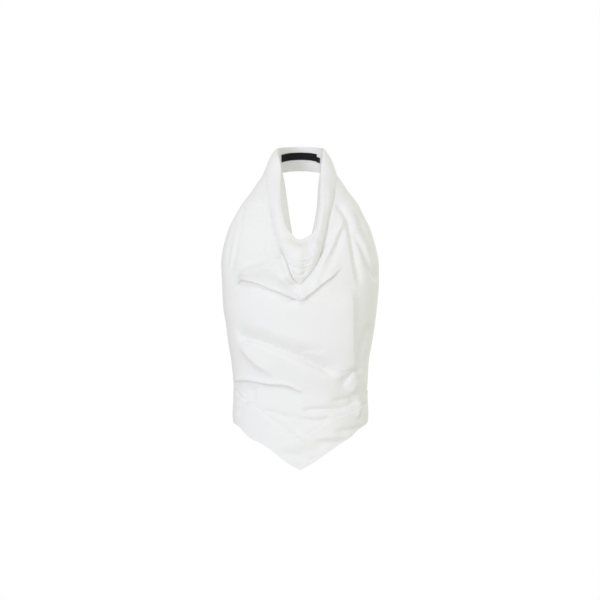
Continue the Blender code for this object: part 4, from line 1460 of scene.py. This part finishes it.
@dataclass
class Topstitching:
    """Rows of small stitches that follow the edges of the cloth, made by Geometry Nodes."""

    pitch: float = 2.7
    stitch: float = 2.0          # length of a stitch
    thread: float = 0.17         # radius of the thread
    sunk: float = 0.4            # how high a stitch's middle lies, as a share of that radius
    shortest: float = 0.42       # half-lengths of a stitch, as shares of its length
    longest: float = 0.5
    segments: int = 6
    rings: int = 4
    seed: int = 7
    lines: list[tuple[Values, Values]] = field(default_factory=list)

    def follow(self, cloth: Cloth, points: Values, normals: Values) -> None:
        """Adds a row that lies on a cloth's outer face.

        Args:
            cloth: The cloth that is sewn.
            points: Middle points of the cloth along the row.
            normals: Ways out of the cloth there.
        """
        lift = float(np.mean(cloth.wall)) / 2 + self.thread * self.sunk
        self.lines.append((points + normals * lift, normals))

    def row(self, cloth: Cloth, index: int, along: bool) -> None:
        """Adds a row along one line of a cloth's grid.

        Args:
            cloth: The cloth that is sewn.
            index: Which line.
            along: Whether the line runs along the grid's first way or across it.
        """
        normals = cloth.normals()
        if along:
            self.follow(cloth, cloth.middle[:, index], normals[:, index])
        else:
            self.follow(cloth, cloth.middle[index], normals[index])

    def path(self) -> Piece:
        """The rows as one mesh of edges that carries the way out of the cloth.

        Returns:
            The piece that holds them.
        """
        mesh = bpy.data.meshes.new("stitch_rows")
        points, ways, edges = [], [], []
        for line, normals in self.lines:
            start = len(points)
            points.extend(line * MM)
            ways.extend(normals)
            edges.extend((start + i, start + i + 1) for i in range(len(line) - 1))
        mesh.from_pydata(points, edges, [])
        way = mesh.attributes.new("way_out", "FLOAT_VECTOR", "POINT")
        way.data.foreach_set("vector", np.array(ways, float).ravel())
        return show("stitch_rows", mesh)

    def sizes(self) -> dict[str, float]:
        """The tree's inputs by name, with lengths in metres."""
        return {"Pitch": self.pitch * MM, "Stitch length": self.stitch * MM,
                "Thread radius": self.thread * MM, "Seed": self.seed}

    def tree(self, material: Material) -> bpy.types.NodeTree:
        """The node tree that lays a small capsule of thread at each step along the rows.

        Args:
            material: The thread's finish.

        Returns:
            The tree.
        """
        tree = bpy.data.node_groups.new("lay_stitches", "GeometryNodeTree")
        face = tree.interface
        face.new_socket("Geometry", in_out="INPUT", socket_type="NodeSocketGeometry")
        for name, value in self.sizes().items():
            kind = "NodeSocketInt" if isinstance(value, int) else "NodeSocketFloat"
            face.new_socket(name, in_out="INPUT", socket_type=kind).default_value = value
        face.new_socket("Geometry", in_out="OUTPUT", socket_type="NodeSocketGeometry")
        new, link = tree.nodes.new, tree.links.new
        given, out = new("NodeGroupInput"), new("NodeGroupOutput")
        curve = new("GeometryNodeMeshToCurve")
        link(given.outputs["Geometry"], curve.inputs["Mesh"])
        steps = new("GeometryNodeResampleCurve")
        steps.mode = "LENGTH"
        link(curve.outputs["Curve"], steps.inputs["Curve"])
        link(given.outputs["Pitch"], steps.inputs["Length"])
        capsule = new("GeometryNodeMeshUVSphere")
        capsule.inputs["Segments"].default_value = self.segments
        capsule.inputs["Rings"].default_value = self.rings
        capsule.inputs["Radius"].default_value = 1.0
        tangent = new("GeometryNodeInputTangent")
        turn = new("FunctionNodeAxesToRotation")
        turn.primary_axis, turn.secondary_axis = "X", "Z"
        way = new("GeometryNodeInputNamedAttribute")
        way.data_type = "FLOAT_VECTOR"
        way.inputs["Name"].default_value = "way_out"
        link(tangent.outputs["Tangent"], turn.inputs["Primary Axis"])
        link(way.outputs["Attribute"], turn.inputs["Secondary Axis"])
        uneven = new("FunctionNodeRandomValue")
        uneven.data_type = "FLOAT"
        uneven.inputs[RANDOM_LEAST].default_value = self.shortest
        uneven.inputs[RANDOM_MOST].default_value = self.longest
        link(given.outputs["Seed"], uneven.inputs["Seed"])
        long = new("ShaderNodeMath")
        long.operation = "MULTIPLY"
        link(given.outputs["Stitch length"], long.inputs[0])
        link(uneven.outputs[RANDOM_RESULT], long.inputs[1])
        size = new("ShaderNodeCombineXYZ")
        link(long.outputs["Value"], size.inputs["X"])
        link(given.outputs["Thread radius"], size.inputs["Y"])
        link(given.outputs["Thread radius"], size.inputs["Z"])
        lay = new("GeometryNodeInstanceOnPoints")
        link(steps.outputs["Curve"], lay.inputs["Points"])
        link(capsule.outputs["Mesh"], lay.inputs["Instance"])
        link(turn.outputs["Rotation"], lay.inputs["Rotation"])
        link(size.outputs["Vector"], lay.inputs["Scale"])
        real = new("GeometryNodeRealizeInstances")
        dress = new("GeometryNodeSetMaterial")
        dress.inputs["Material"].default_value = material
        link(lay.outputs["Instances"], real.inputs["Geometry"])
        link(real.outputs["Geometry"], dress.inputs["Geometry"])
        link(dress.outputs["Geometry"], out.inputs["Geometry"])
        return tree

    def make(self, material: Material) -> Piece:
        """Lays the stitches and keeps them as one plain mesh.

        Args:
            material: The thread's finish.

        Returns:
            The stitches, at the origin.
        """
        rows = self.path()
        modifier = rows.modifiers.new("stitches", "NODES")
        modifier.node_group = self.tree(material)
        sizes = self.sizes()
        for item in modifier.node_group.interface.items_tree:
            if item.in_out == "INPUT" and item.name in sizes:
                modifier[item.identifier] = sizes[item.name]
        graph = bpy.context.evaluated_depsgraph_get()
        mesh = bpy.data.meshes.new_from_object(rows.evaluated_get(graph))
        rows.modifiers.remove(modifier)
        bpy.data.objects.remove(rows, do_unlink=True)
        mesh.name = "topstitching"
        mesh.shade_smooth()
        return show("topstitching", mesh)


@dataclass(frozen=True)
class Lamp:
    """A soft square light: its place and size in metres, its power in watts and its colour."""

    name: str
    at: Triple
    size: float
    power: float
    colour: Triple


@dataclass
class Studio:
    """Pale floor, soft light and the camera at the photo's angle, in metres."""

    centre: Triple = (-0.0006, -0.08, -0.270)
    aim: Triple = (0.0, -0.08, -0.28)
    distance: float = 8.0
    frame_width: float = 1.1466      # that the picture shows at the top's place
    sensor_width: float = 36.0       # of the camera, in its own millimetres
    floor_height: float = -0.96
    floor_half: float = 1.38
    floor_grey: float = 0.8
    floor_roughness: float = 0.9
    ambient: float = 0.63
    ambient_colour: Triple = (1.0, 1.0, 0.92)
    lamps: tuple[Lamp, ...] = (
        Lamp("front left", (-1.75, -2.8, -0.2), 1.2, 31.5, (0.81, 0.81, 1.0)),
        Lamp("key", (-1.3, -1.7, 1.9), 1.0, 1.5, (0.85, 0.92, 0.95)),
        Lamp("above", (0.1, -2.2, 2.1), 1.0, 15.5, (0.84, 0.86, 1.0)),
        Lamp("right", (2.6, -1.4, -0.2), 1.4, 8.0, (0.96, 1.0, 0.88)),
        Lamp("behind", (1.7, 2.2, 0.7), 1.2, 15.0, (1.0, 1.0, 1.0)),
    )

    def light(self, lamp: Lamp) -> None:
        """Hangs a lamp so that it faces the top.

        Args:
            lamp: The lamp.
        """
        data = bpy.data.lights.new(lamp.name, "AREA")
        data.energy, data.size, data.color = lamp.power, lamp.size, lamp.colour
        hung = bpy.data.objects.new(lamp.name, data)
        bpy.context.scene.collection.objects.link(hung)
        hung.location = lamp.at
        way = Vector(self.aim) - Vector(lamp.at)
        hung.rotation_euler = way.to_track_quat("-Z", "Y").to_euler()

    def floor(self) -> Piece:
        """A plain pale floor well below the hem.

        Returns:
            The floor.
        """
        half, low = self.floor_half, self.floor_height
        mesh = bpy.data.meshes.new("floor")
        mesh.from_pydata([(-half, -half, low), (half, -half, low), (half, half, low),
                          (-half, half, low)], [], [(0, 1, 2, 3)])
        kit = NodeKit("pale_floor")
        kit.shader.inputs["Base Color"].default_value = (*[self.floor_grey] * 3, 1.0)
        kit.shader.inputs["Roughness"].default_value = self.floor_roughness
        mesh.materials.append(kit.material)
        return show("floor", mesh)

    def world(self) -> None:
        """White beyond the floor, and an even light from all sides."""
        world = bpy.data.worlds.new("studio")
        bpy.context.scene.world = world
        world.use_nodes = True
        tree = world.node_tree
        even = tree.nodes["Background"]
        even.inputs["Color"].default_value = (*self.ambient_colour, 1.0)
        even.inputs["Strength"].default_value = self.ambient
        white = tree.nodes.new("ShaderNodeBackground")
        white.inputs["Strength"].default_value = 1.0
        white.inputs["Color"].default_value = (1.0, 1.0, 1.0, 1.0)
        mix = tree.nodes.new("ShaderNodeMixShader")
        seen = tree.nodes.new("ShaderNodeLightPath")
        tree.links.new(seen.outputs["Is Camera Ray"], mix.inputs[0])
        tree.links.new(even.outputs[0], mix.inputs[1])
        tree.links.new(white.outputs[0], mix.inputs[2])
        tree.links.new(mix.outputs[0], tree.nodes["World Output"].inputs["Surface"])

    def camera(self) -> None:
        """The camera, level with the chest and far off."""
        data = bpy.data.cameras.new("camera")
        data.sensor_width = self.sensor_width
        data.lens = self.sensor_width * self.distance / self.frame_width
        camera = bpy.data.objects.new("camera", data)
        bpy.context.scene.collection.objects.link(camera)
        x, y, z = self.centre
        camera.location = (x, y - self.distance, z)
        camera.rotation_euler = (math.radians(90), 0.0, 0.0)
        bpy.context.scene.camera = camera

    def make(self) -> None:
        """Sets up the floor, the lights, the world and the camera."""
        bpy.context.scene.view_settings.view_transform = "Standard"
        self.floor()
        self.world()
        for lamp in self.lamps:
            self.light(lamp)
        self.camera()


@dataclass(frozen=True)
class Cut:
    """What a sheet was cut to, in metres, how it is held, and what it hangs from or lies on."""

    flat: tuple[float, float]
    area: float
    hold: Hold
    rests_on: str


def finish_sheet(piece: Piece, node: str, cut: Cut) -> None:
    """Ties a sheet of cloth to the frame and says what it was cut to.

    Args:
        piece: The sheet.
        node: The CAD node it stands for.
        cut: Its flat size and how it is held; only its area is read, for the log.
    """
    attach(piece, "root")
    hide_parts(node)
    side = sum(face.area for face in piece.data.polygons) / 2
    LOG.info("%s: %d faces, %.4f square metres a side, cut %.4f", piece.name,
             len(piece.data.polygons), side, cut.area)


@dataclass
class CowlTop:
    """The whole top: its panels on one body form, and the stitches that show on them."""

    form: BodyForm = field(default_factory=BodyForm)
    hem: HemLine = field(default_factory=HemLine)
    folds: FrontFolds = field(default_factory=FrontFolds)
    mitre_bow: float = 3.0       # how far the mitre bows to the viewer's left, in degrees of turn
    band_gap: float = 0.1        # between the back band and the front ones, in degrees of turn
    front_band_columns: int = 112
    back_band_columns: int = 150
    sewn_in: int = 3             # lines of a cloth's grid from its edge in to a row of stitches
    sewn_above_hem: int = 2      # and from the hem up to its row

    def __post_init__(self) -> None:
        """Lays out the panels, each on the ones that it hangs from."""
        form, hem, folds = self.form, self.hem, self.folds
        side = folds.side_turn
        behind = side + self.band_gap
        self.collar = CowlCollar(form, folds)
        self.front = FrontPanel(form, folds, self.collar, hem)
        self.back = BackPanel(form, hem, self.front)
        self.left_band = HemBand("hem_band_left", form, hem, first=-side, last=0.0,
                                 columns=self.front_band_columns, bow_last=self.mitre_bow,
                                 folds=folds)
        self.right_band = HemBand("hem_band_right", form, hem, first=0.0, last=side,
                                  columns=self.front_band_columns, bow_first=self.mitre_bow,
                                  folds=folds)
        self.back_band = HemBand("hem_band_back", form, hem, first=behind,
                                 last=FULL_TURN - behind, columns=self.back_band_columns,
                                 back=self.back)
        self.label = NapePatch("neck_label", self.collar, first=-49.0, last=40.0,
                               top_share=0.21, low_share=0.52, columns=64)
        self.tab = NapePatch("size_tab", self.collar, first=40.3, last=54.5,
                             top_share=0.32, low_share=0.54, columns=14)

    def make_cloth(self, poplin: Material, tape: Material) -> None:
        """Builds every panel and patch, and ties each to the frame.

        Args:
            poplin: Finish of the panels.
            tape: Finish of the label and the tab.
        """
        sewn = (
            (self.collar, "cowl_collar",
             Cut((0.64, 0.137), 0.046, Hold.FOLDED, "front_panel_cloth")),
            (self.front, "front_panel",
             Cut((0.54, 0.467), 0.16, Hold.DRAPED, "cowl_collar_cloth")),
            (self.back, "back_panel",
             Cut((0.41, 0.26), 0.095, Hold.HUNG, "front_panel_cloth")),
            (self.left_band, "hem_band_left",
             Cut((0.21, 0.07), 0.0115, Hold.HUNG, "front_panel_cloth")),
            (self.right_band, "hem_band_right",
             Cut((0.21, 0.07), 0.0115, Hold.HUNG, "front_panel_cloth")),
            (self.back_band, "hem_band_back",
             Cut((0.341, 0.061), 0.0206, Hold.HUNG, "back_panel_cloth")),
        )
        patches = (
            (self.label, "neck_label",
             Cut((0.085, 0.0145), 0.0012, Hold.LAID, "cowl_collar_cloth")),
            (self.tab, "size_tab",
             Cut((0.0142, 0.0103), 0.000146, Hold.LAID, "cowl_collar_cloth")),
        )
        for rows, slot, material in ((sewn, Slot.POPLIN, poplin), (patches, Slot.TAPE, tape)):
            for panel, node, cut in rows:
                finish_sheet(panel.make(material), node, cut)

    def make_stitches(self, thread: Material) -> None:
        """Sews the rows that show, along the bands, the armholes and the back's top edge.

        Args:
            thread: Finish of the thread.
        """
        sewing = Topstitching()
        for band in (self.left_band, self.right_band, self.back_band):
            sewing.row(band.cloth, self.sewn_in, True)
            sewing.row(band.cloth, band.rows - self.sewn_above_hem, True)
        for index in (self.sewn_in, self.front.columns - self.sewn_in):
            sewing.row(self.front.cloth, index, False)
        sewing.row(self.back.cloth, self.sewn_in, True)
        stitches = sewing.make(thread)
        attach(stitches, "root")
        LOG.info("topstitching: %d faces", len(stitches.data.polygons))


def main() -> None:
    """Builds every piece in order and reports each."""
    logging.basicConfig(level=logging.INFO, format="%(name)s %(message)s")
    top = CowlTop()
    top.make_cloth(Poplin().make(), WovenTape().make())
    top.make_stitches(SewingThread().make())
    Studio().make()


if __name__ == "__main__":
    main()
